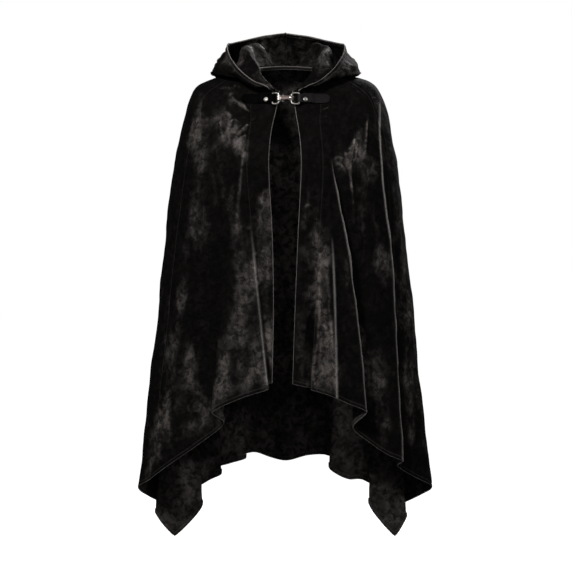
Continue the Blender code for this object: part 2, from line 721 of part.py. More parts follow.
def make_hook(front, finish, collection, cutters):
    """The snap hook: a body with an eye round each ring's inner bar, and its pivot's two ends."""
    half_wide, half_deep = HOOK_WIDTH / 2, HOOK_DEPTH / 2
    low = (INNER_BAR_RIGHT - half_deep, -half_wide, -half_deep)
    high = (INNER_BAR_LEFT + half_deep, half_wide, half_deep)
    mesh = box_at(low, high)
    ends = [e for e in mesh.edges if abs((e.verts[0].co - e.verts[1].co).y) > HOOK_WIDTH * MM / 2]
    bmesh.ops.bevel(
        mesh, geom=ends, offset=HOOK_ROUND * MM, segments=3, profile=0.5, affect="EDGES"
    )
    body = finished("snap_hook", mesh, finish, collection)
    eyes = [
        rod("eye", EYE_RADIUS, HOOK_WIDTH * 2, x, 0, 12, cutters)
        for x in (INNER_BAR_RIGHT, INNER_BAR_LEFT)
    ]
    waist = []
    for side in (-1, 1):
        near, far = sorted((side * WAIST_WIDTH / 2, side * (WAIST_WIDTH / 2 + NOTCH)))
        notch = box_at((WAIST_FROM, near, -HOOK_DEPTH), (WAIST_TO, far, HOOK_DEPTH))
        waist.append(finished("notch", notch, finish, cutters))
    for cutter in eyes + waist:
        cut = body.modifiers.new(cutter.name, "BOOLEAN")
        cut.operation = "DIFFERENCE"
        cut.object = cutter
        cut.solver = "EXACT"
    ears = rod("ears", PIVOT_RADIUS, PIVOT_LENGTH, PIVOT_X, PIVOT_RISE, 10, cutters)
    join = body.modifiers.new("ears", "BOOLEAN")
    join.operation = "UNION"
    join.object = ears
    join.solver = "EXACT"
    place = clasp_frame(front, 0)
    for thing in [body, ears] + eyes + waist:
        thing.matrix_world = place
    for thing in [ears] + eyes + waist:
        thing.hide_render = True
        thing.display_type = "WIRE"
    return body


def make_lever(front, finish, collection):
    """The thumb plate that lies over the hook's body, from the pivot to the hook's tip."""
    near = HOOK_DEPTH / 2 + LEVER_GAP
    low = (LEVER_ENDS[0], -LEVER_WIDTH / 2, near)
    high = (LEVER_ENDS[1], LEVER_WIDTH / 2, near + LEVER)
    mesh = box_at(low, high)
    upright = [e for e in mesh.edges if abs((e.verts[0].co - e.verts[1].co).z) > LEVER / 2 * MM]
    bmesh.ops.bevel(
        mesh, geom=upright, offset=LEVER_ROUND * MM, segments=3, profile=0.5, affect="EDGES"
    )
    thing = finished("snap_lever", mesh, finish, collection)
    thing.matrix_world = clasp_frame(front, 0)
    return thing


def main():
    clear_scene()
    garment = bpy.data.collections.new("hooded_cape")
    cutters = bpy.data.collections.new("cutters")
    for collection in (garment, cutters):
        bpy.context.scene.collection.children.link(collection)
    finishes = {name: material(name) for name in COLOURS}
    grid = make_cape(finishes["velvet"], garment)
    front = Front(grid)
    make_hood(front, finishes["velvet"], garment)
    make_tape(finishes["tape"], garment)
    steel, leather = finishes["steel"], finishes["leather"]
    right = make_strap("strap_right", front, STRAP_END_RIGHT, OUTER_BAR_RIGHT, leather, garment)
    left = make_strap("strap_left", front, STRAP_END_LEFT, OUTER_BAR_LEFT, leather, garment)
    make_ring("ring_right", front, OUTER_BAR_RIGHT, INNER_BAR_RIGHT, steel, garment)
    make_ring("ring_left", front, OUTER_BAR_LEFT, INNER_BAR_LEFT, steel, garment)
    make_rivet("rivet_right", right, RIVET_RIGHT, steel, garment)
    make_rivet("rivet_left", left, RIVET_LEFT, steel, garment)
    make_hook(front, steel, garment, cutters)
    make_lever(front, steel, garment)


main()
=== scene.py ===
"""A hooded cloak of crushed velvet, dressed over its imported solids.

Each panel is one sheet of cloth, cut from the same smooth form as its solid, with pressed fold
lines, drawn wrinkles, turned hems and sunk seams worked into the sheet. Sizes are in millimetres
until a mesh is made. +Z is up, -Y is the front and -X is the wearer's right.
"""

import json
import logging
import math
from collections.abc import Callable, Sequence
from dataclasses import dataclass, field, replace
from enum import Enum

import bmesh
import bpy
import numpy as np
from mathutils import Matrix, Vector, noise
from mathutils.bvhtree import BVHTree

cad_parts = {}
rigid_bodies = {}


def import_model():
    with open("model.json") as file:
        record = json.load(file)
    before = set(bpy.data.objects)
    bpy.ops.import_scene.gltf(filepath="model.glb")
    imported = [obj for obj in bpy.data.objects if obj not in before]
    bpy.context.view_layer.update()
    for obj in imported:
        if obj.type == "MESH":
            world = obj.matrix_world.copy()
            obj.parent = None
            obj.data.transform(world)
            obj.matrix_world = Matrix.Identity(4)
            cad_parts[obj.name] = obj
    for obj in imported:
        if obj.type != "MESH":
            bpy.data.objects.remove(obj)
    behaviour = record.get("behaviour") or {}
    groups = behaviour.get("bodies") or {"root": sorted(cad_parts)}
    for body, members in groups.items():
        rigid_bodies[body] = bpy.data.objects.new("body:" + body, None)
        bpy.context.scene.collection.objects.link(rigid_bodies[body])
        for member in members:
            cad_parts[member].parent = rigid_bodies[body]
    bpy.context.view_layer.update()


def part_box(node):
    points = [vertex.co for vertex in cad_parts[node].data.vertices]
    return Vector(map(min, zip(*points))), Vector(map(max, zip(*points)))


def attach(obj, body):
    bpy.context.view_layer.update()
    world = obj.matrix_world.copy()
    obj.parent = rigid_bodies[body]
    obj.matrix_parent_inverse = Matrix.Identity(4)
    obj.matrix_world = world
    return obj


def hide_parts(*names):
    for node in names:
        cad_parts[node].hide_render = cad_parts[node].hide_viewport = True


LOG = logging.getLogger("cloak")
MM = 0.001
BODY = "root"
CAMERA_DISTANCE = 5000.0
CAMERA_HEIGHT = -471.9
VIEW_WIDTH = 1260.6  # what the photograph takes in, at the middle of the cloak
VIEW_ASIDE = 1.1
SENSOR = 36.0
RAY_START = -1000.0  # well in front of the cloak
MERGED = 1e-6  # points nearer than this, in metres, become one
FAR = 40.0  # further from an edge than its finish reaches


class Slot(Enum):
    """The record's material slots."""

    VELVET = "velvet"
    TAPE = "tape"
    LEATHER = "leather"
    STEEL = "steel"


class Face(Enum):
    """Which side of the cloak a wrinkle or an area of painted light shows on."""

    FRONT = "front"
    BACK = "back"
    INSIDE = "inside"  # the wrong side, seen from the front


# ---------------------------------------------------------------- curves and grids


def knots_of(points: np.ndarray) -> np.ndarray:
    """Spaces knots by the square root of the distance, which keeps a curve from looping.

    Args:
        points: Rows of points, as (..., n, 3).

    Returns:
        The knots, as (..., n).
    """
    steps = np.sqrt(np.linalg.norm(np.diff(points, axis=-2), axis=-1))
    start = np.zeros_like(steps[..., :1])
    return np.concatenate((start, np.cumsum(steps, axis=-1)), axis=-1)


def smooth_through(rows: np.ndarray, knots: np.ndarray, counts: Sequence[int]) -> np.ndarray:
    """Runs a smooth curve through rows of numbers.

    Args:
        rows: What the curve passes through, as (..., n, d).
        knots: Its knots, as (..., n).
        counts: The steps in each stretch.

    Returns:
        The points of the curve, as (..., sum(counts) + 1, d).
    """
    first = 2 * rows[..., :1, :] - rows[..., 1:2, :]
    last = 2 * rows[..., -1:, :] - rows[..., -2:-1, :]
    rows = np.concatenate((first, rows, last), axis=-2)
    before = 2 * knots[..., :1] - knots[..., 1:2]
    after = 2 * knots[..., -1:] - knots[..., -2:-1]
    knots = np.concatenate((before, knots, after), axis=-1)
    made = []
    for i, count in enumerate(counts):
        t0, t1, t2, t3 = (knots[..., i + k, None, None] for k in range(4))
        p0, p1, p2, p3 = (rows[..., i + k : i + k + 1, :] for k in range(4))
        steps = count + (i == len(counts) - 1)
        t = t1 + (t2 - t1) * (np.arange(steps) / count)[:, None]
        a = p0 + (p1 - p0) * (t - t0) / (t1 - t0)
        b = p1 + (p2 - p1) * (t - t1) / (t2 - t1)
        c = p2 + (p3 - p2) * (t - t2) / (t3 - t2)
        ab = a + (b - a) * (t - t0) / (t2 - t0)
        bc = b + (c - b) * (t - t1) / (t3 - t1)
        made.append(ab + (bc - ab) * (t - t1) / (t2 - t1))
    return np.concatenate(made, axis=-2)


def arcs_of(line: np.ndarray) -> np.ndarray:
    """The distance of each point of a line from its start, along it."""
    steps = np.linalg.norm(np.diff(line, axis=0), axis=1)
    return np.concatenate(([0.0], np.cumsum(steps)))


def picked(line: np.ndarray, distances: np.ndarray) -> np.ndarray:
    """The points of a line at these distances from its start."""
    arcs = arcs_of(line)
    return np.stack([np.interp(distances, arcs, line[:, axis]) for axis in range(3)], axis=1)


def spaced(
    length: float, count: int, near_start: Sequence[float], near_end: Sequence[float]
) -> np.ndarray:
    """Spreads points along a length, close together where an edge or a seam needs them.

    Args:
        length: The whole length.
        count: How many even steps lie between the two bands.
        near_start: Distances from the start, from 0 up.
        near_end: Distances from the end, from 0 up.

    Returns:
        The distances from the start, in order.
    """
    start, end = np.array(near_start, float), np.array(near_end, float)
    reach = start[-1] + end[-1]
    if reach > BAND_SHARE * length:
        start, end = start * BAND_SHARE * length / reach, end * BAND_SHARE * length / reach
    middle = np.linspace(start[-1], length - end[-1], count + 1)[1:-1]
    return np.concatenate((start, middle, length - end[::-1]))


def banded(drawn: np.ndarray, steps: int) -> np.ndarray:
    """Picks the rows of the last, finely drawn stretch, close together at the turned edge.

    Args:
        drawn: The points, as (columns, rows, 3).
        steps: How many even steps lie before the band at the edge.

    Returns:
        The points, with the rows of the last stretch picked anew.
    """
    kept = drawn.shape[1] - FINE_STEPS - 1
    made = []
    for column in drawn:
        last = column[kept:]
        where = spaced(arcs_of(last)[-1], steps, (0.0,), EDGE_BAND)
        made.append(np.concatenate((column[:kept], picked(last, where))))
    return np.array(made)


def outward(points: np.ndarray) -> np.ndarray:
    """The directions out of a grid of columns that go round by the wearer's right, rows down."""
    across = np.gradient(points, axis=0)
    down = np.gradient(points, axis=1)
    faces = np.cross(across, down)
    return faces / np.maximum(np.linalg.norm(faces, axis=-1, keepdims=True), 1e-9)


BAND_SHARE = 0.7
EDGE_BAND = (0.0, 0.8, 2.0, 3.6, 5.4, 7.2, 8.4, 9.6, 11.5)
SEAM_BAND = (0.0, 1.2, 2.6, 4.4, 7.0)


# ---------------------------------------------------------------- the cloak's form


@dataclass(frozen=True)
class Ring:
    """One level of the shoulders. Heights and depths are given at front, side and back."""

    half_width: float
    front: float
    back: float
    side_z: float
    front_z: float
    back_z: float
    square: float
    settle: float
    pull: float

    def at(self, angle: np.ndarray) -> np.ndarray:
        """The ring's points at these angles, which go from the front round by the right."""
        sine, cosine = np.sin(np.radians(angle)), np.cos(np.radians(angle))
        wide = np.sign(sine) * np.abs(sine) ** (2 / self.square)
        deep = np.sign(cosine) * np.abs(cosine) ** (2 / self.square)
        depth = np.where(cosine > 0, self.front, self.back)
        height = np.where(cosine > 0, self.front_z, self.back_z)
        z = self.side_z + (height - self.side_z) * np.abs(cosine) ** RING_ROUND
        drawn = self.pull * np.maximum(0, 1 - np.minimum(angle, 360 - angle) / PULLED_TO)
        x = -self.half_width * wide + np.sign(sine) * drawn
        return np.stack((x, -depth * deep, z), axis=-1)


@dataclass(frozen=True)
class FoldLine:
    """The path of one fold line, as angles at the neck and the yoke and a place at the hem."""

    name: str
    neck: float
    yoke: float
    x: float
    y: float
    z: float
    bow: float = 0.0
    inset: float = 0.0
    pressed: float = 0.0
    # how strong a painted highlight runs along its crease
    creased: float = 0.0
    from_row: float = 0.3

    def numbers(self, side: int) -> tuple[float, ...]:
        """The fold as one row of numbers, on the wearer's right (-1) or left (1)."""
        neck, yoke = (self.neck, self.yoke) if side < 0 else (360 - self.neck, 360 - self.yoke)
        return (neck, yoke, side * self.x, self.y, self.z, side * self.bow, self.inset)


@dataclass(frozen=True)
class Wrinkle:
    """A drawn wrinkle, as it is seen from one side: a ridge, or a trough where height is less."""

    line: tuple[tuple[float, float], ...]
    height: float
    width: float
    face: Face = Face.FRONT
    fade_in: float = 0.42
    fade_out: float = 0.42
    # how strong a painted highlight runs along its ridge
    creased: float = 0.0

    def lift(self, seen: np.ndarray) -> np.ndarray:
        """How far it lifts points of the cloth.

        Args:
            seen: Where the points are seen, as (n, 2).

        Returns:
            The lift of each point.
        """
        line = np.array(self.line, float)
        if len(line) > 2:
            flat = np.column_stack((line, np.zeros(len(line))))
            line = smooth_through(flat, knots_of(flat), (4,) * (len(line) - 1))[:, :2]
        lengths = np.linalg.norm(np.diff(line, axis=0), axis=1)
        starts = np.concatenate(([0.0], np.cumsum(lengths)))
        nearest = np.full(len(seen), np.inf)
        along = np.zeros(len(seen))
        for a, b, length, start in zip(line, line[1:], lengths, starts):
            share = np.clip((seen - a) @ (b - a) / length**2, 0, 1)
            gap = np.linalg.norm(seen - a - share[:, None] * (b - a), axis=1)
            closer = gap < nearest
            nearest = np.where(closer, gap, nearest)
            along = np.where(closer, (start + share * length) / starts[-1], along)
        rise = np.clip(along / max(self.fade_in, 1e-6), 0, 1)
        fall = np.clip((1 - along) / max(self.fade_out, 1e-6), 0, 1)
        taper = rise * rise * (3 - 2 * rise) * fall * fall * (3 - 2 * fall)
        return self.height * taper * np.exp(-((nearest / self.width) ** 2))


@dataclass(frozen=True)
class PaintedLightArea:
    """An area of painted sheen by its outline as it is seen from one side; a negative strength
    paints shade.
    """

    outline: tuple[tuple[float, float], ...]
    strength: float
    face: Face = Face.FRONT
    soft: float = 44.0

    def amount(self, seen: np.ndarray) -> np.ndarray:
        """How much painted light points get that are seen at these places."""
        line = np.array(self.outline, float)
        gap = np.full(len(seen), np.inf)
        inside = np.zeros(len(seen), bool)
        for a, b in zip(line, np.roll(line, -1, axis=0)):
            share = np.clip((seen - a) @ (b - a) / ((b - a) @ (b - a)), 0, 1)
            gap = np.minimum(gap, np.linalg.norm(seen - a - share[:, None] * (b - a), axis=1))
            if a[1] != b[1]:
                crossing = a[0] + (seen[:, 1] - a[1]) * (b[0] - a[0]) / (b[1] - a[1])
                spans = (seen[:, 1] > min(a[1], b[1])) & (seen[:, 1] <= max(a[1], b[1]))
                inside ^= spans & (seen[:, 0] < crossing)
        depth = np.clip(0.5 + np.where(inside, gap, -gap) / self.soft, 0, 1)
        return self.strength * depth * depth * (3 - 2 * depth)


RING_ROUND = 1.6
PULLED_TO = 40.0
RINGS = (
    Ring(62, 88, 62, 8, -51, 16, 2.0, 0.0, 0),
    Ring(130, 101, 94, -6, -93, -12, 2.1, 0.46, 6),
    Ring(192, 117, 112, -27, -127, -48, 2.3, 0.90, 6),
    Ring(212, 131, 124, -60, -156, -92, 2.3, 0.96, 3),
    Ring(242, 152, 138, -181, -209, -187, 2.2, 1.0, 0),
)
DROPS = (1 / 3, 2 / 3)
FOLDS_RIGHT = (
    FoldLine("front_edge", 13, 7.1, 29, -160, -678, -6),
    FoldLine("turn", 26, 12.5, 57, -158, -685, 0),
    FoldLine("seam_ridge", 48, 18.2, 35, -180, -689, 4),
    FoldLine("panel", 53, 20.5, 96, -181, -710, 4),
    FoldLine("ridge", 57, 22.5, 156, -172, -741, 3, 0, 2.4),
    FoldLine("turn", 61, 25.0, 134, -140, -764, 0),
    FoldLine("hollow", 67, 35.0, 193, -118, -815, 0),
    FoldLine("swell", 75, 48.0, 245, -114, -851, 4),
    FoldLine("side_seam", 86, 61.0, 296, -80, -890, 0),
    FoldLine("outline", 93, 90.0, 324, -36, -911, 0),
    FoldLine("lining", 99, 98.0, 301, 14, -936, 0),
    FoldLine("turn", 104, 103, 262, 50, -958, 0, 2),
    FoldLine("turn", 106, 104, 254, 32, -962, 0, 9),
    FoldLine("corner", 109, 105, 286, -10, -969, 0, 13),
    FoldLine("tip", 114, 107.5, 245.5, 0, -1021, 0, 20),
    FoldLine("tip", 114.5, 108, 242.5, 0, -1020, 0, 20),
    FoldLine("corner", 121, 117, 186, 20, -956, 0, 10),
    FoldLine("turn", 126, 125, 214, 62, -934, 0, 3),
    FoldLine("fold", 132, 131, 170, 76, -904, 0, 0, 2.4, 0.15, 0.35),
    FoldLine("fold_edge", 137, 136, 143, 83, -891, 0, 0, 1.5),
    FoldLine("turn", 142, 141, 165, 112, -882),
    FoldLine("fold", 149, 148, 122, 128, -870, 0, 0, 2.8, 0.17, 0.4),
    FoldLine("fold_edge", 154, 153, 90, 133, -860, 0, 0, 1.5),
    FoldLine("turn", 158, 157, 106, 158, -857),
    FoldLine("wave", 165, 164, 72, 173, -849, 0, 0, 2.8, 0.15, 0.3),
    FoldLine("wave", 172, 172, 36, 183, -861),
    FoldLine("centre_back", 180, 180, 0, 174, -868),
)
FOLDS_LEFT = (
    FoldLine("front_edge", 13, 6.2, 13, -165, -680, -1),
    FoldLine("strip", 22, 10.0, 36, -173, -685, 1),
    FoldLine("turn", 34, 13.5, 65, -160, -690, 1),
    FoldLine("seam_ridge", 48, 17.0, 52, -186, -691, 1),
    FoldLine("dip", 51, 18.6, 81, -179, -700, 2),
    FoldLine("ridge", 54, 19.4, 108, -187, -710, 4, 0, 2.0, 0.5, 0.58),
    FoldLine("dip", 56, 20.6, 136, -175, -723, 4),
    FoldLine("ridge", 59, 22.0, 171, -168, -740, 9, 0, 2.6, 0.8, 0.35),
    FoldLine("turn", 62, 25.0, 145, -134, -775, 5, 5),
    FoldLine("hollow", 67, 35.0, 179, -122, -807, 3),
    FoldLine("swell", 75, 46.0, 219, -118, -834, 4),
    FoldLine("side_ridge", 84, 59.0, 251, -110, -849, 3, 0, 2.2, 1.0, 0.5),
    FoldLine("turn", 85.2, 60.4, 241, -96, -859, 2),
    FoldLine("side_seam", 86.4, 62.0, 252, -88, -869, 3),
    FoldLine("side", 90, 74.0, 286, -66, -889, 1),
    FoldLine("outline", 95, 90.0, 321, -25, -911, 0),
    FoldLine("lining", 99, 97.0, 296, 18, -933, 0),
    FoldLine("turn", 104, 102, 254, 51, -957, 0, 2),
    FoldLine("turn", 106, 103, 243, 35, -962, 0, 9),
    FoldLine("corner", 109, 104, 263, -6, -980, 0, 13),
    FoldLine("tip", 114, 106.5, 240.5, -2, -1021, 0, 20),
    FoldLine("tip", 114.5, 107, 237.5, -2, -1020, 0, 20),
    FoldLine("corner", 121, 117, 184, 20, -952, 0, 10),
    FoldLine("turn", 127, 125, 210, 62, -930, 0, 3),
    FoldLine("fold", 134, 132, 170, 85, -904, 0, 0, 2.4, 0.15, 0.3),
    FoldLine("fold", 140, 139, 137, 100, -904, 0, 0, 2.0, 0.12, 0.5),
    FoldLine("fold_edge", 147, 146, 97, 110, -880, 0, 0, 1.5),
    FoldLine("turn", 152, 151, 117, 142, -865),
    FoldLine("wave", 160, 160, 87, 163, -854, 0, 0, 2.8, 0.17, 0.36),
    FoldLine("wave", 170, 170, 48, 180, -857, 0, 0, 2.2, 0.12, 0.5),
)
ROWS_TO_RING = (10, 14, 12, 26)
ROWS_TO_DROP = (42, 38)
ROWS_TO_HEM = 24
FINE_STEPS = 40  # how finely the last stretch is drawn before its rows are picked
FORM_COLUMN = 7.0


def seen_from(points: np.ndarray, face: Face) -> np.ndarray:
    """Where points are seen from the front, at the camera's distance, or from straight behind.

    Args:
        points: The points, as (n, 3).
        face: The side that they are seen from.

    Returns:
        How far aside and how high each is seen, at the middle of the cloak.
    """
    if face is Face.BACK:
        return points[:, [0, 2]]
    share = CAMERA_DISTANCE / (CAMERA_DISTANCE + points[:, 1])
    x = points[:, 0] * share
    z = CAMERA_HEIGHT + (points[:, 2] - CAMERA_HEIGHT) * share
    return np.column_stack((x, z))


@dataclass
class ClothGrid:
    """A sheet of cloth as columns of points, with what each point lies near."""

    points: np.ndarray
    from_edge: np.ndarray
    from_hem: np.ndarray  # the hem is the edge that shows its stitches
    from_seam: np.ndarray
    along: np.ndarray
    pressed: np.ndarray
    # the strength of the painted highlight along creases
    crease: np.ndarray

    def lifted(self, height: np.ndarray) -> None:
        """Moves every point out of the sheet by its height."""
        self.points = self.points + outward(self.points) * height[..., None]


class CapeForm:
    """The smooth form that all five panels of the cape are cut from."""

    def __init__(self) -> None:
        """Draws the columns of the whole cape, from the right front edge round to the left."""
        self.folds = list(FOLDS_RIGHT) + list(FOLDS_LEFT[::-1])
        rows = [fold.numbers(-1) for fold in FOLDS_RIGHT]
        rows += [fold.numbers(1) for fold in FOLDS_LEFT[::-1]]
        table = np.array(rows, float)
        hem = table[:, 2:5]
        steps = np.linalg.norm(np.diff(hem, axis=0), axis=1)
        counts = [max(2, math.ceil(step / FORM_COLUMN)) for step in steps]
        self.places = [sum(counts[:i]) for i in range(len(rows))]
        self.grid = self.paths(smooth_through(table, knots_of(hem), counts))

    @staticmethod
    def paths(columns: np.ndarray) -> np.ndarray:
        """Draws each column from the neck over the shoulder to the hem.

        Args:
            columns: One row of a fold's numbers for each column.

        Returns:
            The points, as (columns, rows, 3).
        """
        neck, yoke, bow, inset = (columns[:, i] for i in (0, 1, 5, 6))
        points = [ring.at(neck + (yoke - neck) * ring.settle) for ring in RINGS]
        flat = points[-1] * (1, 1, 0)
        away = flat / np.linalg.norm(flat, axis=1, keepdims=True)
        points[-1] = points[-1] - away * inset[:, None]
        start, hem = points[-1], columns[:, 2:5]
        for drop in DROPS:
            swing = np.zeros_like(hem)
            swing[:, 0] = 4 * drop * (1 - drop) * bow
            points.append(start + (hem - start) * drop + swing)
        through = np.stack([*points, hem], axis=1)
        counts = (*ROWS_TO_RING, *ROWS_TO_DROP, FINE_STEPS)
        return banded(smooth_through(through, knots_of(through), counts), ROWS_TO_HEM)

    def place(self, name: str, side: int) -> int:
        """The column of the first fold of this name, on the wearer's right (-1) or left (1)."""
        half = FOLDS_RIGHT if side < 0 else FOLDS_LEFT
        index = next(i for i, fold in enumerate(half) if fold.name == name)
        return self.places[index if side < 0 else len(self.folds) - 1 - index]

    def panel(self, start: int, end: int, columns: int, open_ends: tuple[bool, bool]) -> ClothGrid:
        """Cuts one panel and spreads its columns evenly across it.

        Args:
            start: The column where it begins.
            end: The column where it ends.
            columns: How many even columns lie across it.
            open_ends: Whether each end is a turned edge; the other ends are seams.

        Returns:
            The panel, still without its wrinkles.
        """
        cut = self.grid[start : end + 1]
        bands = [EDGE_BAND if is_open else SEAM_BAND for is_open in open_ends]
        points, across, pressed, creased = [], [], [], []
        for row in range(cut.shape[1]):
            line = cut[:, row]
            arcs = arcs_of(line)
            where = spaced(arcs[-1], columns, *bands)
            points.append(picked(line, where))
            across.append(where)
            height, line_light = np.zeros_like(where), np.zeros_like(where)
            crease = max(CREASE_WIDTH, CREASE_SHARE * np.diff(where).max())
            for fold, place in zip(self.folds, self.places):
                if fold.pressed and start < place < end:
                    share = np.clip((row / cut.shape[1] - fold.from_row) / PRESS_GROWS, 0, 1)
                    gap = where - arcs[place - start]
                    height += share * fold.pressed * np.exp(-((gap / PRESS_WIDTH) ** 2))
                    line_light += share * fold.creased * np.exp(-((gap / crease) ** 2))
            pressed.append(height)
            creased.append(line_light)
        stacks = (points, across, pressed, creased)
        points, across, pressed, creased = (np.stack(a, axis=1) for a in stacks)
        sides = (across, across[-1:] - across)
        hem = self.distances_up(points)
        down = hem[:, :1] - hem
        edges = [side for side, is_open in zip(sides, open_ends) if is_open] + [hem]
        seams = [side for side, is_open in zip(sides, open_ends) if not is_open] + [down]
        at_hem = np.linalg.norm(np.diff(points[:, -1], axis=0), axis=1)
        round_hem = np.concatenate(([0.0], np.cumsum(at_hem)))[:, None] + 0 * down
        nearest = np.minimum.reduce(edges)
        along = np.where(hem <= nearest, round_hem, down)
        from_seam = np.minimum.reduce(seams)
        return ClothGrid(points, nearest, hem, from_seam, along, pressed, creased)

    @staticmethod
    def distances_up(points: np.ndarray) -> np.ndarray:
        """How far each point lies above the hem, along its column."""
        steps = np.linalg.norm(np.diff(points, axis=1), axis=2)[:, ::-1]
        up = np.concatenate((np.zeros((len(points), 1)), np.cumsum(steps, axis=1)), axis=1)
        return up[:, ::-1]


PRESS_WIDTH = 5.0
PRESS_GROWS = 0.1  # how much of a column's rows a pressed line takes to grow
CREASE_WIDTH = 1.7
CREASE_SHARE = 0.75  # of the space between columns, so that no crease falls between two


# ---------------------------------------------------------------- the look of the cloth

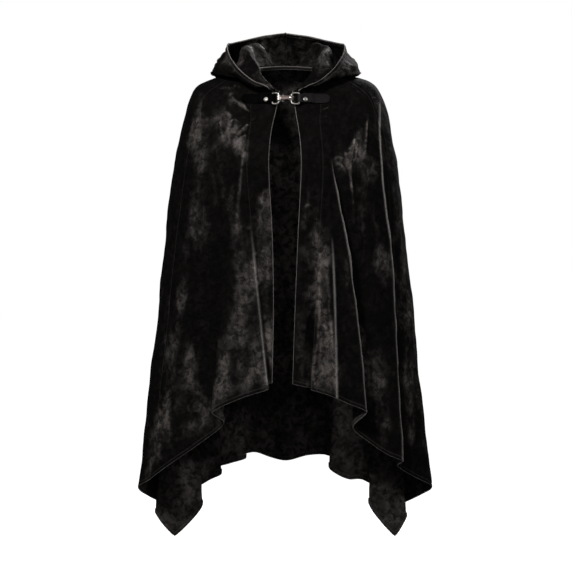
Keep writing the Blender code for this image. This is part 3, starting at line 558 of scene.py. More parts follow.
WRINKLES = (
    # drawn from the strap and over the bust, on the wearer's right
    Wrinkle(((-124, -56), (-106, -68), (-92, -79), (-78, -91)), 4.8, 4.4, fade_out=0.1),
    Wrinkle(((-112, -54), (-98, -66), (-84, -82)), 3.2, 3.0, fade_out=0.2),
    Wrinkle(((-104, -100), (-92, -101), (-78, -103)), 3.4, 2.6, fade_out=0.05),
    Wrinkle(((-76, -107), (-64, -101), (-53, -98)), 3.6, 2.6, fade_in=0.05, fade_out=0.6),
    Wrinkle(((-76, -91), (-66, -90), (-58, -88)), 2.8, 2.6, fade_in=0.05, fade_out=0.6),
    Wrinkle(((-106, -136), (-97, -127), (-82, -115)), 4.0, 3.0, fade_out=0.1),
    Wrinkle(((-120, -154), (-102, -135), (-84, -124)), 4.4, 3.0, fade_out=0.1),
    Wrinkle(((-112, -160), (-99, -146), (-85, -137)), 3.2, 2.8, fade_out=0.2),
    Wrinkle(((-141, -96), (-131, -91), (-119, -101)), 3.4, 4.0),
    Wrinkle(((-128, -112), (-114, -106), (-100, -112)), 2.8, 3.4),
    Wrinkle(((-146, -104), (-143, -126), (-137, -150)), 3.6, 3.6),
    Wrinkle(((-129, -118), (-127, -138), (-120, -158)), 2.6, 3.2),
    Wrinkle(
        ((-92, -156), (-98, -212), (-105, -290), (-114, -390)),
        2.6,
        4.4,
        fade_in=0.3,
        fade_out=0.5,
    ),
    Wrinkle(((-152, -38), (-130, -36), (-110, -40)), 3.4, 4.2),
    Wrinkle(((-120, -30), (-104, -34), (-92, -40)), 3.0, 3.2),
    # drawn from the strap, on the wearer's left
    Wrinkle(((75, -90), (84, -84), (98, -76)), 5.2, 3.0, fade_in=0.05, fade_out=0.6),
    Wrinkle(((76, -103), (86, -99), (102, -94)), 4.6, 2.8, fade_in=0.05, fade_out=0.6),
    Wrinkle(((76, -116), (86, -113), (94, -111)), 2.4, 2.6, fade_in=0.05, fade_out=0.7),
    Wrinkle(((92, -38), (108, -36), (128, -32)), 3.0, 4.0),
    Wrinkle(((104, -50), (120, -52), (136, -50)), 2.6, 4.0),
    # the star of folds over the bust, on the wearer's left
    Wrinkle(
        ((155, -128), (149, -160), (141, -218), (145, -262), (152, -322)),
        5.0,
        3.4,
        fade_in=0.15,
    ),
    Wrinkle(((146, -150), (140, -176), (137, -212)), 4.0, 3.0),
    Wrinkle(((160, -146), (155, -176), (145, -212)), 3.4, 3.0),
    Wrinkle(((130, -168), (133, -190), (138, -222)), 3.4, 3.0),
    Wrinkle(((98, -196), (112, -188), (126, -194), (138, -216)), 4.0, 3.4),
    Wrinkle(((104, -204), (116, -202), (132, -214)), 3.0, 3.0),
    Wrinkle(((182, -64), (177, -120), (172, -200)), 4.0, 3.4),
    # the top of the crease down the side, on the wearer's left, with a painted highlight line
    Wrinkle(
        ((207.5, -57), (206, -128), (210, -205), (218, -282), (227.7, -359), (233, -403)),
        1.8,
        1.6,
        fade_in=0.08,
        fade_out=0.12,
        creased=0.8,
    ),
    # long soft folds down the panels
    Wrinkle(((-196, -150), (-192, -330), (-206, -560)), 3.4, 15.0),
    Wrinkle(((-168, -120), (-166, -260), (-182, -420)), 2.8, 13.0),
    Wrinkle(((-150, -200), (-160, -420), (-182, -640)), 3.0, 12.0),
    Wrinkle(((-222, -420), (-238, -600), (-262, -800)), 3.6, 14.0),
    Wrinkle(((-236, -240), (-246, -420), (-262, -600)), 3.0, 13.0),
    Wrinkle(((180, -240), (190, -440), (208, -700)), 3.4, 15.0),
    Wrinkle(((206, -320), (220, -560), (238, -780)), 3.2, 13.0),
    Wrinkle(((162, -240), (170, -330), (182, -460)), 2.2, 9.0),
    Wrinkle(((-60, -230), (-64, -330)), -2.0, 9.0),
    Wrinkle(
        ((86, -392), (95, -500), (103, -610), (112, -720)),
        2.4,
        4.4,
        fade_in=0.2,
        fade_out=0.0,
    ),
    # the lower ends of the strips' seams, which stand up in a ridge, the right one with a painted
    # highlight line
    Wrinkle(
        ((-80.5, -312), (-71.7, -392), (-62.9, -480), (-55, -550), (-41, -690)),
        1.6,
        2.4,
        fade_in=0.4,
        fade_out=0.0,
        creased=0.45,
    ),
    Wrinkle(
        ((70.4, -392), (74.8, -480), (71.3, -568), (55.4, -686)),
        2.6,
        4.2,
        fade_in=0.3,
        fade_out=0.1,
    ),
    # small pulls along the seams and the front edges
    Wrinkle(((-96, -284), (-76, -278)), 2.4, 4.0),
    Wrinkle(((-92, -346), (-70, -340)), 2.4, 4.6),
    Wrinkle(((-76, -404), (-54, -392)), 2.2, 4.4),
    Wrinkle(((-70, -470), (-48, -456)), 2.4, 4.6),
    Wrinkle(((-62, -548), (-40, -538)), 2.1, 4.6),
    Wrinkle(((34, -300), (58, -290)), 2.1, 4.4),
    Wrinkle(((38, -366), (64, -352)), 2.4, 4.8),
    Wrinkle(((36, -440), (60, -426)), 2.1, 4.4),
    Wrinkle(((34, -560), (52, -566)), 2.2, 4.6),
    # the back, which the photograph doesn't show
    Wrinkle(((-92, -70), (-64, -92), (-52, -130)), 7.0, 9.0, Face.BACK),
    Wrinkle(((96, -66), (70, -90), (60, -126)), 6.6, 9.0, Face.BACK),
    Wrinkle(((-150, -80), (-128, -150), (-116, -260)), 7.5, 12.0, Face.BACK),
    Wrinkle(((156, -86), (134, -160), (126, -270)), 7.0, 12.0, Face.BACK),
    Wrinkle(((-40, -180), (-34, -340), (-28, -560)), 7.5, 13.0, Face.BACK),
    Wrinkle(((36, -200), (40, -360), (46, -600)), 7.5, 13.0, Face.BACK),
    Wrinkle(((-190, -140), (-196, -300), (-216, -480)), 7.5, 14.0, Face.BACK),
    Wrinkle(((196, -150), (204, -320), (224, -500)), 7.5, 14.0, Face.BACK),
    Wrinkle(((-4, -150), (0, -240)), 5.3, 9.0, Face.BACK),
    Wrinkle(((-110, -330), (-112, -480), (-120, -640)), 5.7, 11.0, Face.BACK),
    Wrinkle(((104, -350), (108, -500), (116, -660)), 5.7, 11.0, Face.BACK),
    Wrinkle(((-236, -260), (-250, -460), (-272, -660)), 6.6, 12.0, Face.BACK),
    Wrinkle(((238, -280), (254, -480), (276, -680)), 6.6, 12.0, Face.BACK),
)
PAINTED_LIGHT_AREAS = (
    # painted sheen on the front, where the bust, the folds and the seams catch the light
    PaintedLightArea(
        (
            (-193, -80), (-164, -109), (-123, -89), (-85, -117), (-87, -184), (-110, -181),
            (-132, -155), (-156, -142), (-167, -197), (-193, -212), (-205, -153),
        ),
        0.5,
    ),
    PaintedLightArea(
        ((-128, -46), (-110, -50), (-80, -86), (-78, -94), (-98, -88), (-124, -70)),
        0.6,
        soft=20,
    ),
    PaintedLightArea(((-140, -32), (-84, -30), (-84, -44), (-118, -46), (-138, -50)), 0.4, soft=22),
    PaintedLightArea(
        ((-123, -139), (-94, -133), (-84, -150), (-87, -184), (-107, -180), (-125, -155)),
        0.5,
    ),
    PaintedLightArea(
        (
            (-95, -184), (-82, -188), (-89, -263), (-97, -344), (-123, -381), (-117, -307),
            (-106, -241),
        ),
        0.4,
    ),
    PaintedLightArea(
        (
            (-101, -337), (-79, -307), (-57, -425), (-46, -579), (-40, -687), (-150, -724),
            (-151, -659), (-134, -520), (-125, -410),
        ),
        0.6,
    ),
    PaintedLightArea(
        (
            (-73, -263), (-32, -249), (-25, -410), (-28, -672), (-37, -686), (-48, -557),
            (-63, -410),
        ),
        0.6,
    ),
    PaintedLightArea(
        (
            (-208, -95), (-175, -117), (-186, -205), (-197, -278), (-211, -410), (-233, -373),
            (-222, -227),
        ),
        0.3,
    ),
    PaintedLightArea(
        (
            (-255, -513), (-219, -454), (-210, -557), (-193, -667), (-160, -740), (-169, -777),
            (-298, -870), (-281, -740),
        ),
        0.5,
    ),
    PaintedLightArea(((-186, -307), (-151, -337), (-158, -469), (-191, -425)), 0.22),
    PaintedLightArea(
        (
            (158, -132), (164, -160), (156, -200), (142, -226), (124, -214), (104, -196),
            (122, -180), (142, -158),
        ),
        0.85,
        soft=30,
    ),
    PaintedLightArea(((101, -181), (180, -160), (195, -205), (170, -263), (126, -249)), 0.35),
    PaintedLightArea(
        (
            (64, -366), (88, -403), (101, -527), (111, -703), (57, -690), (69, -557),
            (62, -454),
        ),
        0.85,
    ),
    PaintedLightArea(
        (
            (27, -307), (67, -304), (62, -410), (59, -557), (45, -689), (16, -684), (20, -483),
            (23, -373),
        ),
        0.4,
    ),
    PaintedLightArea(((163, -263), (214, -278), (229, -454), (185, -439)), 0.2),
    PaintedLightArea(
        (
            (238, -190), (269, -337), (291, -557), (305, -821), (267, -839), (254, -630),
            (243, -410),
        ),
        0.5,
    ),
    PaintedLightArea(((170, -571), (216, -593), (243, -740), (248, -839), (194, -780), (173, -703)), 0.35),
    PaintedLightArea(((137, -395), (163, -571), (172, -733), (150, -718), (135, -557), (126, -439)), 0.25),
    # painted shade below the straps and on the left shoulder
    PaintedLightArea(((-82, -90), (-40, -88), (-34, -210), (-78, -210)), -0.3, soft=30),
    PaintedLightArea(((24, -88), (78, -90), (76, -240), (28, -240)), -0.6, soft=30),
    PaintedLightArea(((88, -16), (186, -20), (172, -104), (98, -112)), -0.25, soft=30),
    # painted sheen on the back
    PaintedLightArea(((-150, -100), (-70, -130), (-60, -300), (-130, -340)), 0.7, Face.BACK),
    PaintedLightArea(((40, -180), (110, -140), (120, -420), (60, -460)), 0.6, Face.BACK),
    PaintedLightArea(((-200, -400), (-120, -380), (-120, -840), (-200, -840)), 0.7, Face.BACK),
    PaintedLightArea(((150, -400), (230, -440), (240, -840), (150, -820)), 0.7, Face.BACK),
    PaintedLightArea(((-40, -460), (40, -440), (50, -800), (-50, -820)), 0.5, Face.BACK),
    PaintedLightArea(((-270, -280), (-200, -240), (-220, -640), (-290, -660)), 0.5, Face.BACK),
    PaintedLightArea(((200, -200), (250, -240), (270, -560), (220, -560)), 0.5, Face.BACK),
    # painted light on the wrong side, where it shows through the front opening and at the tips
    PaintedLightArea(((-54, 30), (54, 30), (44, -60), (-44, -60)), 0.6, Face.INSIDE, 40.0),
    PaintedLightArea(((-70, -158), (70, -158), (40, -480), (-60, -480)), 1.2, Face.INSIDE, 50.0),
    PaintedLightArea(((-60, -460), (50, -460), (36, -690), (-52, -690)), 0.7, Face.INSIDE, 60.0),
    PaintedLightArea(((-90, -720), (100, -720), (100, -890), (-90, -890)), 0.4, Face.INSIDE, 50.0),
    PaintedLightArea(((-245, -850), (-160, -850), (-175, -950), (-240, -960)), 1.0, Face.INSIDE),
    PaintedLightArea(((-155, -740), (-84, -740), (-84, -870), (-150, -870)), 0.8, Face.INSIDE, 34.0),
    PaintedLightArea(((140, -780), (200, -780), (200, -900), (140, -900)), 0.3, Face.INSIDE),
)
OPEN_RIDGE = 8.0  # painted highlights run along wrinkles that are narrower than this
RIDGE_SHINE = 0.28  # painted highlight on a ridge, for each millimetre of height
# painted shade at a wrinkle's foot, for each millimetre of height
FOOT_SHADE = 0.11
CRUMPLES = (  # how wide across, how long down, and how high, in millimetres
    (70.0, 150.0, 4.2),
    (30.0, 55.0, 2.2),
    (13.0, 22.0, 0.8),
)


def crumpled(points: np.ndarray, bumps: Sequence[tuple[float, float, float]]) -> np.ndarray:
    """The small unevenness of crushed cloth.

    Args:
        points: The points, as (n, 3).
        bumps: How wide across, how long down and how high the bumps of each size are.

    Returns:
        How far each point is lifted.
    """
    made = np.zeros(len(points))
    for wide, long, high in bumps:
        scaled = points / (wide, wide, long)
        made += high * np.array([noise.noise(Vector(point)) for point in scaled])
    return made


def near(distance: np.ndarray, reach: float) -> np.ndarray:
    """1 at no distance, falling smoothly to 0 at this reach."""
    share = np.clip(1 - distance / reach, 0, 1)
    return share * share * (3 - 2 * share)


@dataclass
class Cloth:
    """Makes one sheet of cloth from its grid: hems, seams, wrinkles, thickness and finish."""

    name: str
    grid: ClothGrid
    facing: int = 1
    wall: float = 1.3
    turned_wall: float = 2.6
    turned: float = 9.0
    seam_sink: float = 1.2
    seam_reach: float = 5.0
    seam_ridge: float = 0.4
    stitch_line: float = 8.4
    stitch_sink: float = 0.7
    stitch_reach: float = 1.3
    edge_roll: float = 0.9
    edge_reach: float = 2.2
    pucker: float = 0.55
    pucker_length: float = 17.0
    pucker_reach: float = 14.0
    pucker_start: float = 3.0
    pucker_gain: float = 1.6
    ridge_width: float = 2.2
    calm: float = 0.75  # how much less uneven the cloth is at its seams and edges
    calm_reach: float = 30.0

    def worked(self, faces: Sequence[Face], share: float = 1.0) -> None:
        """Works the wrinkles, pressed folds, seams and hems into the sheet.

        Args:
            faces: The sides whose drawn wrinkles fall on this sheet.
            share: How much of the general unevenness it gets.
        """
        grid = self.grid
        shape = grid.from_edge.shape
        flat = grid.points.reshape(-1, 3)
        out = outward(grid.points).reshape(-1, 3)
        ends = near(np.minimum(grid.from_seam, grid.from_edge), self.calm_reach).ravel()
        height = crumpled(flat, CRUMPLES) * (share * (1 - self.calm * ends))
        for face in faces:
            facing = np.clip(-out[:, 1] if face is Face.FRONT else out[:, 1], 0, 1)
            seen = seen_from(flat, face)
            shown = np.clip(facing * 3, 0, 1)
            for wrinkle in WRINKLES:
                if wrinkle.face is face:
                    lift = wrinkle.lift(seen) * shown
                    height += lift
                    drawn = (wrinkle.creased / wrinkle.height * lift).reshape(shape)
                    grid.crease = np.maximum(grid.crease, drawn)
        height = height.reshape(shape) + grid.pressed
        seam, edge = grid.from_seam, grid.from_edge
        sunk = near(seam, self.seam_reach)
        ridge = np.exp(-(((seam - self.seam_reach) / self.ridge_width) ** 2))
        stitch = np.exp(-(((grid.from_hem - self.stitch_line) / self.stitch_reach) ** 2))
        height += self.seam_ridge * ridge - self.seam_sink * sunk - self.stitch_sink * stitch
        wave = self.puckers(grid.along)
        off_seam = 1 - near(seam, self.pucker_start)
        height += self.pucker * wave * off_seam * near(np.minimum(seam, edge), self.pucker_reach)
        roll = np.clip(1 - edge / self.edge_reach, 0, 1) ** 2
        height -= self.edge_roll * roll
        grid.lifted(height)

    def puckers(self, along: np.ndarray) -> np.ndarray:
        """Uneven small waves along a sewn line."""
        flat = along.ravel() / self.pucker_length
        start = sum(map(ord, self.name)) % 97
        waves = [noise.noise(Vector((place, start, 0.5))) for place in flat]
        return np.array(waves).reshape(along.shape) * self.pucker_gain

    def brushed(self, face: Face) -> np.ndarray:
        """The painted sheen and shade at each point, on the side that is seen so."""
        flat = self.grid.points.reshape(-1, 3)
        out = self.facing * outward(self.grid.points).reshape(-1, 3)
        turn = {Face.FRONT: -out[:, 1], Face.BACK: out[:, 1], Face.INSIDE: 1 + 0 * out[:, 1]}
        seen = seen_from(flat, face)
        amount = sum(place.amount(seen) for place in PAINTED_LIGHT_AREAS if place.face is face)
        for wrinkle in WRINKLES:
            if wrinkle.face is face and 0 < wrinkle.width < OPEN_RIDGE:
                foot = replace(wrinkle, width=2 * wrinkle.width)
                shine = RIDGE_SHINE * wrinkle.lift(seen) - FOOT_SHADE * foot.lift(seen)
                amount = amount + shine
        return np.clip(amount * np.clip(turn[face] * 3 + 0.6, 0, 1), -0.4, 1.2)

    def made(
        self, finishes: Sequence[bpy.types.Material], brushed: np.ndarray, inside: np.ndarray
    ) -> bpy.types.Object:
        """Makes the sheet's mesh, with its thickness and its finishes.

        Args:
            finishes: The right side's finish, and the wrong side's.
            brushed: How much painted sheen and shade each point of the right side gets.
            inside: How much painted sheen the wrong side gets.

        Returns:
            The finished piece.
        """
        columns, rows = self.grid.from_edge.shape
        mesh = bmesh.new()
        bmesh.ops.create_grid(mesh, x_segments=columns - 1, y_segments=rows - 1, size=0.5)
        mesh.verts.index_update()
        order = np.empty(columns * rows, int)
        for vert in mesh.verts:
            i = round((vert.co.x + 0.5) * (columns - 1))
            j = round((0.5 - vert.co.y) * (rows - 1))
            order[vert.index] = i * rows + j
        points = self.grid.points.reshape(-1, 3)[order] * MM
        for vert, point in zip(mesh.verts, points):
            vert.co = point
        data = bpy.data.meshes.new(self.name)
        mesh.to_mesh(data)
        mesh.free()
        self.face_out(data, order)
        data.shade_smooth()
        for name, values in (
            ("from_edge", self.grid.from_edge),
            ("from_hem", self.grid.from_hem),
            ("from_seam", self.grid.from_seam),
            ("along", self.grid.along),
            ("crease", self.grid.crease),
            # the painted sheen and shade of each side
            ("brushed", brushed),
            ("inside", inside),
        ):
            layer = data.attributes.new(name, "FLOAT", "POINT")
            layer.data.foreach_set("value", values.ravel()[order].astype(np.float32))
        piece = bpy.data.objects.new(self.name, data)
        bpy.context.scene.collection.objects.link(piece)
        for finish in finishes:
            data.materials.append(finish)
        self.thicken(piece, order)
        return piece

    def face_out(self, data: bpy.types.Mesh, order: np.ndarray) -> None:
        """Turns the sheet's faces over if they point into the cloak."""
        wanted = self.facing * outward(self.grid.points).reshape(-1, 3)[order]
        normals = np.zeros(len(data.vertices) * 3, np.float32)
        data.vertex_normals.foreach_get("vector", normals)
        if (normals.reshape(-1, 3) * wanted).sum() < 0:
            data.flip_normals()

    def thicken(self, piece: bpy.types.Object, order: np.ndarray) -> None:
        """Gives the sheet its wall, which is doubled along its turned edges."""
        edge = self.grid.from_edge.ravel()[order]
        roll = np.clip(edge / self.edge_reach, 0, 1)
        nose = np.sqrt(1 - (1 - roll) ** 2)
        wall = np.where(edge < self.turned, self.turned_wall, self.wall) * (0.3 + 0.7 * nose)
        group = piece.vertex_groups.new(name="wall")
        for index, weight in enumerate(wall / self.turned_wall):
            group.add((index,), float(weight), "REPLACE")
        solid = piece.modifiers.new("wall", "SOLIDIFY")
        solid.thickness = self.turned_wall * MM
        solid.offset = -1.0
        solid.vertex_group = "wall"
        solid.use_quality_normals = True
        solid.material_offset = 1


# ---------------------------------------------------------------- finishes


def linear(code: str) -> tuple[float, float, float, float]:
    """Turns an sRGB hex colour to the linear one that a shader takes."""
    parts = [int(code[i : i + 2], 16) / 255 for i in (1, 3, 5)]
    made = [p / 12.92 if p <= 0.04045 else ((p + 0.055) / 1.055) ** 2.4 for p in parts]
    return (*made, 1.0)


def node(
    tree: bpy.types.NodeTree, kind: str, values: dict | None = None, **settings: object
) -> bpy.types.Node:
    """Adds a node with its settings and links.

    Args:
        tree: The material's node tree.
        kind: The node's type.
        values: What each input takes, by name or number: a value, or another node's output.
        settings: The node's own settings.

    Returns:
        The node.
    """
    made = tree.nodes.new(kind)
    for name, value in settings.items():
        setattr(made, name, value)
    for key, value in (values or {}).items():
        if isinstance(value, bpy.types.NodeSocket):
            tree.links.new(value, made.inputs[key])
        else:
            made.inputs[key].default_value = value
    return made


def blank(name: str) -> tuple[bpy.types.Material, bpy.types.NodeTree, bpy.types.Node]:
    """A new material with its shader alone.

    Returns:
        The material, its tree and its shader.
    """
    made = bpy.data.materials.new(name)
    made.use_nodes = True
    return made, made.node_tree, made.node_tree.nodes["Principled BSDF"]


@dataclass(frozen=True)
class CrushedVelvet:
    """Rayon pile velvet, crushed when wet, so patches of the pile lie in different directions.

    Facing the eye the pile swallows the light. Where it lies over, a painted grey sheen is mixed
    into its colour in small flecks, and painted highlight lines lighten it along the turned edges,
    the sharp creases, the seams and the hem's stitch line.
    """

    name: str = "crushed_velvet"
    painted_light_from: str = "brushed"  # the attribute that says how much painted sheen and shade the colour gets
    deep: str = "#050505"
    lit: str = "#8d8682"
    # the colour of the painted highlight lines along the turned edges, the hem's stitch line, the
    # creases and the seams
    worn: str = "#b0aba7"
    patch: float = 52.0
    cloud: float = 27.0
    bend: float = 30.0
    marks: float = 0.5
    tear: float = 0.45
    # how strong the painted highlight is along creases
    creased: float = 0.9
    fleck: float = 12.0
    pile: float = 1.6
    stitched: float = 8.4  # how far in the hem is sewn down
    # the painted sheen that every point gets
    everywhere: float = 0.022
    gloss: float = 0.07
    sheen: float = 0.010
    sheen_roughness: float = 0.3
    crush: float = 0.004

    def made(self) -> bpy.types.Material:
        """Makes the material."""
        finish, tree, shader = blank(self.name)
        place = node(tree, "ShaderNodeTexCoord").outputs["Object"]
        long = node(tree, "ShaderNodeMapping", {"Vector": place, "Scale": (1, 1, 0.45)}).outputs[0]
        patch = self.noise(tree, long, self.patch, 3.0, 0.3)
        fleck = self.noise(tree, place, self.fleck, 2.5, 0.6)
        bent = self.joined(tree, "SUBTRACT", self.noise(tree, long, self.bend, 2.0, 0.8), 0.5)
        pile = self.noise(tree, long, self.pile, 1.0, 0.0)
        # painted sheen: the attribute's amount, torn by noise and broken into flecks, mixes the
        # lit grey into the near-black colour
        painted_light_amount = self.read(tree, self.painted_light_from)
        torn = self.stepped(tree, patch, 0.25, 0.75, -self.tear, self.tear)
        painted_sheen_patch = self.stepped(tree, self.joined(tree, "ADD", painted_light_amount, torn), 0.1, 1.5, 0.0, 1.0)
        marked = self.stepped(tree, self.joined(tree, "ABSOLUTE", bent), 0.0, 0.1, self.marks, 1.0)
        flecked = self.stepped(tree, fleck, 0.32, 0.62, 0.22, 1.0)
        cloud = self.noise(tree, place, self.cloud, 3.0, 0.4)
        clouded = self.stepped(tree, cloud, 0.35, 0.65, 0.5, 1.0)
        painted_sheen_share = self.joined(tree, "ADD", painted_sheen_patch, self.everywhere)
        for share in (marked, flecked, clouded):
            painted_sheen_share = self.joined(tree, "MULTIPLY", painted_sheen_share, share)
        colour = self.mixed(tree, painted_sheen_share, linear(self.deep), linear(self.lit))
        # painted highlight lines along the turned edges, the hem's stitch line, the creases and
        # the seams
        edge = self.stepped(tree, self.read(tree, "from_edge"), 0.3, 2.0, 0.55, 0.0)
        off_line = self.joined(tree, "SUBTRACT", self.read(tree, "from_hem"), self.stitched)
        stitch = self.stepped(tree, self.joined(tree, "ABSOLUTE", off_line), 0.3, 2.0, 0.045, 0.0)
        edge = self.joined(tree, "MAXIMUM", edge, stitch)
        crease = self.joined(tree, "MULTIPLY", self.read(tree, "crease"), self.creased)
        seam = self.stepped(tree, self.read(tree, "from_seam"), 0.4, 1.9, 0.03, 0.0)
        painted_highlight_lines = self.joined(tree, "MAXIMUM", self.joined(tree, "MAXIMUM", edge, crease), seam)
        colour = self.mixed(tree, painted_highlight_lines, colour, linear(self.worn))
        grain = self.stepped(tree, pile, 0.3, 0.7, 0.75, 1.25)
        painted = node(tree, "ShaderNodeVectorMath", {0: colour}, operation="SCALE")
        tree.links.new(grain, painted.inputs["Scale"])
        tree.links.new(painted.outputs[0], shader.inputs["Base Color"])
        tree.links.new(self.stepped(tree, painted_sheen_share, 0.0, 0.5, 0.8, 0.4), shader.inputs["Roughness"])
        shader.inputs["Specular IOR Level"].default_value = self.gloss
        shader.inputs["Specular Tint"].default_value = linear("#fff1ea")
        shader.inputs["Sheen Weight"].default_value = self.sheen
        shader.inputs["Sheen Roughness"].default_value = self.sheen_roughness
        shader.inputs["Sheen Tint"].default_value = linear("#fff3ec")
        values = {"Height": fleck, "Distance": self.crush, "Strength": 0.7}
        crushed = node(tree, "ShaderNodeBump", values)
        fine = node(
            tree,
            "ShaderNodeBump",
            {"Height": pile, "Distance": 0.0006, "Strength": 0.5, "Normal": crushed.outputs[0]},
        )
        tree.links.new(fine.outputs[0], shader.inputs["Normal"])
        return finish

    @staticmethod
    def noise(
        tree: bpy.types.NodeTree,
        place: bpy.types.NodeSocket,
        width: float,
        detail: float,
        distortion: float,
    ) -> bpy.types.NodeSocket:
        """A cloudy pattern whose clouds are about this many millimetres wide."""
        values = {"Vector": place, "Scale": 1000 / width}
        values |= {"Detail": detail, "Distortion": distortion}
        return node(tree, "ShaderNodeTexNoise", values).outputs["Fac"]

    @staticmethod
    def read(tree: bpy.types.NodeTree, name: str) -> bpy.types.NodeSocket:
        """What the cloth's attribute of this name holds."""
        return node(tree, "ShaderNodeAttribute", attribute_name=name).outputs["Fac"]

    @staticmethod
    def stepped(
        tree: bpy.types.NodeTree,
        value: bpy.types.NodeSocket,
        start: float,
        end: float,
        low: float,
        high: float,
    ) -> bpy.types.NodeSocket:
        """Goes smoothly from low to high while the value goes from start to end."""
        values = {0: value, 1: start, 2: end, 3: low, 4: high}
        return node(
            tree, "ShaderNodeMapRange", values, interpolation_type="SMOOTHSTEP"
        ).outputs[0]

    @staticmethod
    def joined(tree: bpy.types.NodeTree, how: str, *values: object) -> bpy.types.NodeSocket:
        """Works out one number from others."""
        return node(tree, "ShaderNodeMath", dict(enumerate(values)), operation=how).outputs[0]

    @staticmethod
    def mixed(
        tree: bpy.types.NodeTree, share: bpy.types.NodeSocket, first: object, second: object
    ) -> bpy.types.NodeSocket:
        """Goes from the first colour to the second as the share rises."""
        values = {"Factor": share, 6: first, 7: second}
        return node(tree, "ShaderNodeMix", values, data_type="RGBA").outputs[2]


def coated(
    tree: bpy.types.NodeTree,
    shader: bpy.types.Node,
    pattern: bpy.types.NodeSocket,
    colours: tuple[str, str],
    rough: dict[int, float],
    relief: tuple[bpy.types.NodeSocket, float, float],
) -> bpy.types.NodeSocket:
    """Lets a pattern vary a finish's colour and roughness, and gives it a relief.

    Args:
        tree: The material's node tree.
        shader: Its shader.
        pattern: The pattern.
        colours: The colours at the pattern's low and high ends.
        rough: The range of the pattern (1, 2) and the roughness at its two ends (3, 4).
        relief: The pattern of the relief, its depth in metres and its strength.

    Returns:
        The colour.
    """
    values = {"Factor": pattern, 6: linear(colours[0]), 7: linear(colours[1])}
    colour = node(tree, "ShaderNodeMix", values, data_type="RGBA").outputs[2]
    tree.links.new(colour, shader.inputs["Base Color"])
    roughness = node(tree, "ShaderNodeMapRange", {0: pattern, **rough}).outputs[0]
    tree.links.new(roughness, shader.inputs["Roughness"])
    values = dict(zip(("Height", "Distance", "Strength"), relief))
    bump = node(tree, "ShaderNodeBump", values).outputs[0]
    tree.links.new(bump, shader.inputs["Normal"])
    return colour


@dataclass(frozen=True)
class Leather:
    """Bonded black leather with a fine embossed grain, a little shiny."""

    name: str = "black_leather"
    deep: str = "#050505"
    lit: str = "#080808"
    gloss: float = 0.01
    pebble: float = 1.6

    def made(self) -> bpy.types.Material:
        """Makes the material."""
        finish, tree, shader = blank(self.name)
        place = node(tree, "ShaderNodeTexCoord").outputs["Object"]
        grain = node(tree, "ShaderNodeTexVoronoi", {"Vector": place, "Scale": 1000 / self.pebble})
        cloud = node(tree, "ShaderNodeTexNoise", {"Vector": place, "Scale": 160.0, "Detail": 4.0})
        rough = {1: 0.3, 2: 0.7, 3: 0.62, 4: 0.42}
        relief = grain.outputs["Distance"], 0.0004, 0.6
        coated(tree, shader, cloud.outputs["Fac"], (self.deep, self.lit), rough, relief)
        shader.inputs["Specular IOR Level"].default_value = self.gloss
        return finish


@dataclass(frozen=True)
class PlatedSteel:
    """Nickel-plated die-cast zinc, polished, with fine scratches and duller patches."""

    name: str = "nickel_plate"
    bright: str = "#f2ede7"
    dull: str = "#aaa39e"
    scratch: float = 0.5

    def made(self) -> bpy.types.Material:
        """Makes the material."""
        finish, tree, shader = blank(self.name)
        place = node(tree, "ShaderNodeTexCoord").outputs["Object"]
        cloud = node(tree, "ShaderNodeTexNoise", {"Vector": place, "Scale": 220.0, "Detail": 5.0})
        drawn = node(tree, "ShaderNodeMapping", {"Vector": place, "Scale": (0.2, 1, 1)}).outputs[0]
        rough = {1: 0.3, 2: 0.7, 3: 0.44, 4: 0.28}
        relief = CrushedVelvet.noise(tree, drawn, self.scratch, 2.0, 0.0), 0.0001, 0.3
        coated(tree, shader, cloud.outputs["Fac"], (self.dull, self.bright), rough, relief)
        shader.inputs["Metallic"].default_value = 1.0
        return finish


@dataclass(frozen=True)
class WovenTape:
    """Black cotton herringbone tape, matt, with a rib across it, lighter along its two edges."""

    name: str = "woven_tape"
    deep: str = "#0c0b0b"
    lit: str = "#232120"
    edge_tone: str = "#8d8783"
    rib: float = 1.2

    def made(self) -> bpy.types.Material:
        """Makes the material."""
        finish, tree, shader = blank(self.name)
        place = node(tree, "ShaderNodeTexCoord").outputs["Object"]
        values = {"Vector": place, "Scale": 1000 / self.rib / math.tau, "Distortion": 1.0}
        ribs = node(tree, "ShaderNodeTexWave", values, bands_direction="DIAGONAL").outputs["Fac"]
        rough, relief = {3: 0.9, 4: 0.75}, (ribs, 0.0003, 0.5)
        colour = coated(tree, shader, ribs, (self.deep, self.lit), rough, relief)
        from_edge = CrushedVelvet.read(tree, "from_edge")
        edge = CrushedVelvet.stepped(tree, from_edge, 0.2, 2.2, 0.8, 0.0)
        edged = CrushedVelvet.mixed(tree, edge, colour, linear(self.edge_tone))
        tree.links.new(edged, shader.inputs["Base Color"])
        shader.inputs["Specular IOR Level"].default_value = 0.15
        return finish


# ---------------------------------------------------------------- the sub-assemblies


def dressed(piece: bpy.types.Object, slot: Slot, *nodes: str) -> bpy.types.Object:
    """Lets a finished piece ride on the cloak and stand for its solids.

    Args:
        piece: The finished piece.
        slot: The record's material slot for the piece; not used.
        nodes: The solids that it stands for.

    Returns:
        The piece.
    """
    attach(piece, BODY)
    if nodes:
        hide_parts(*nodes)
    LOG.info("%s: %d faces", piece.name, len(piece.data.polygons))
    return piece


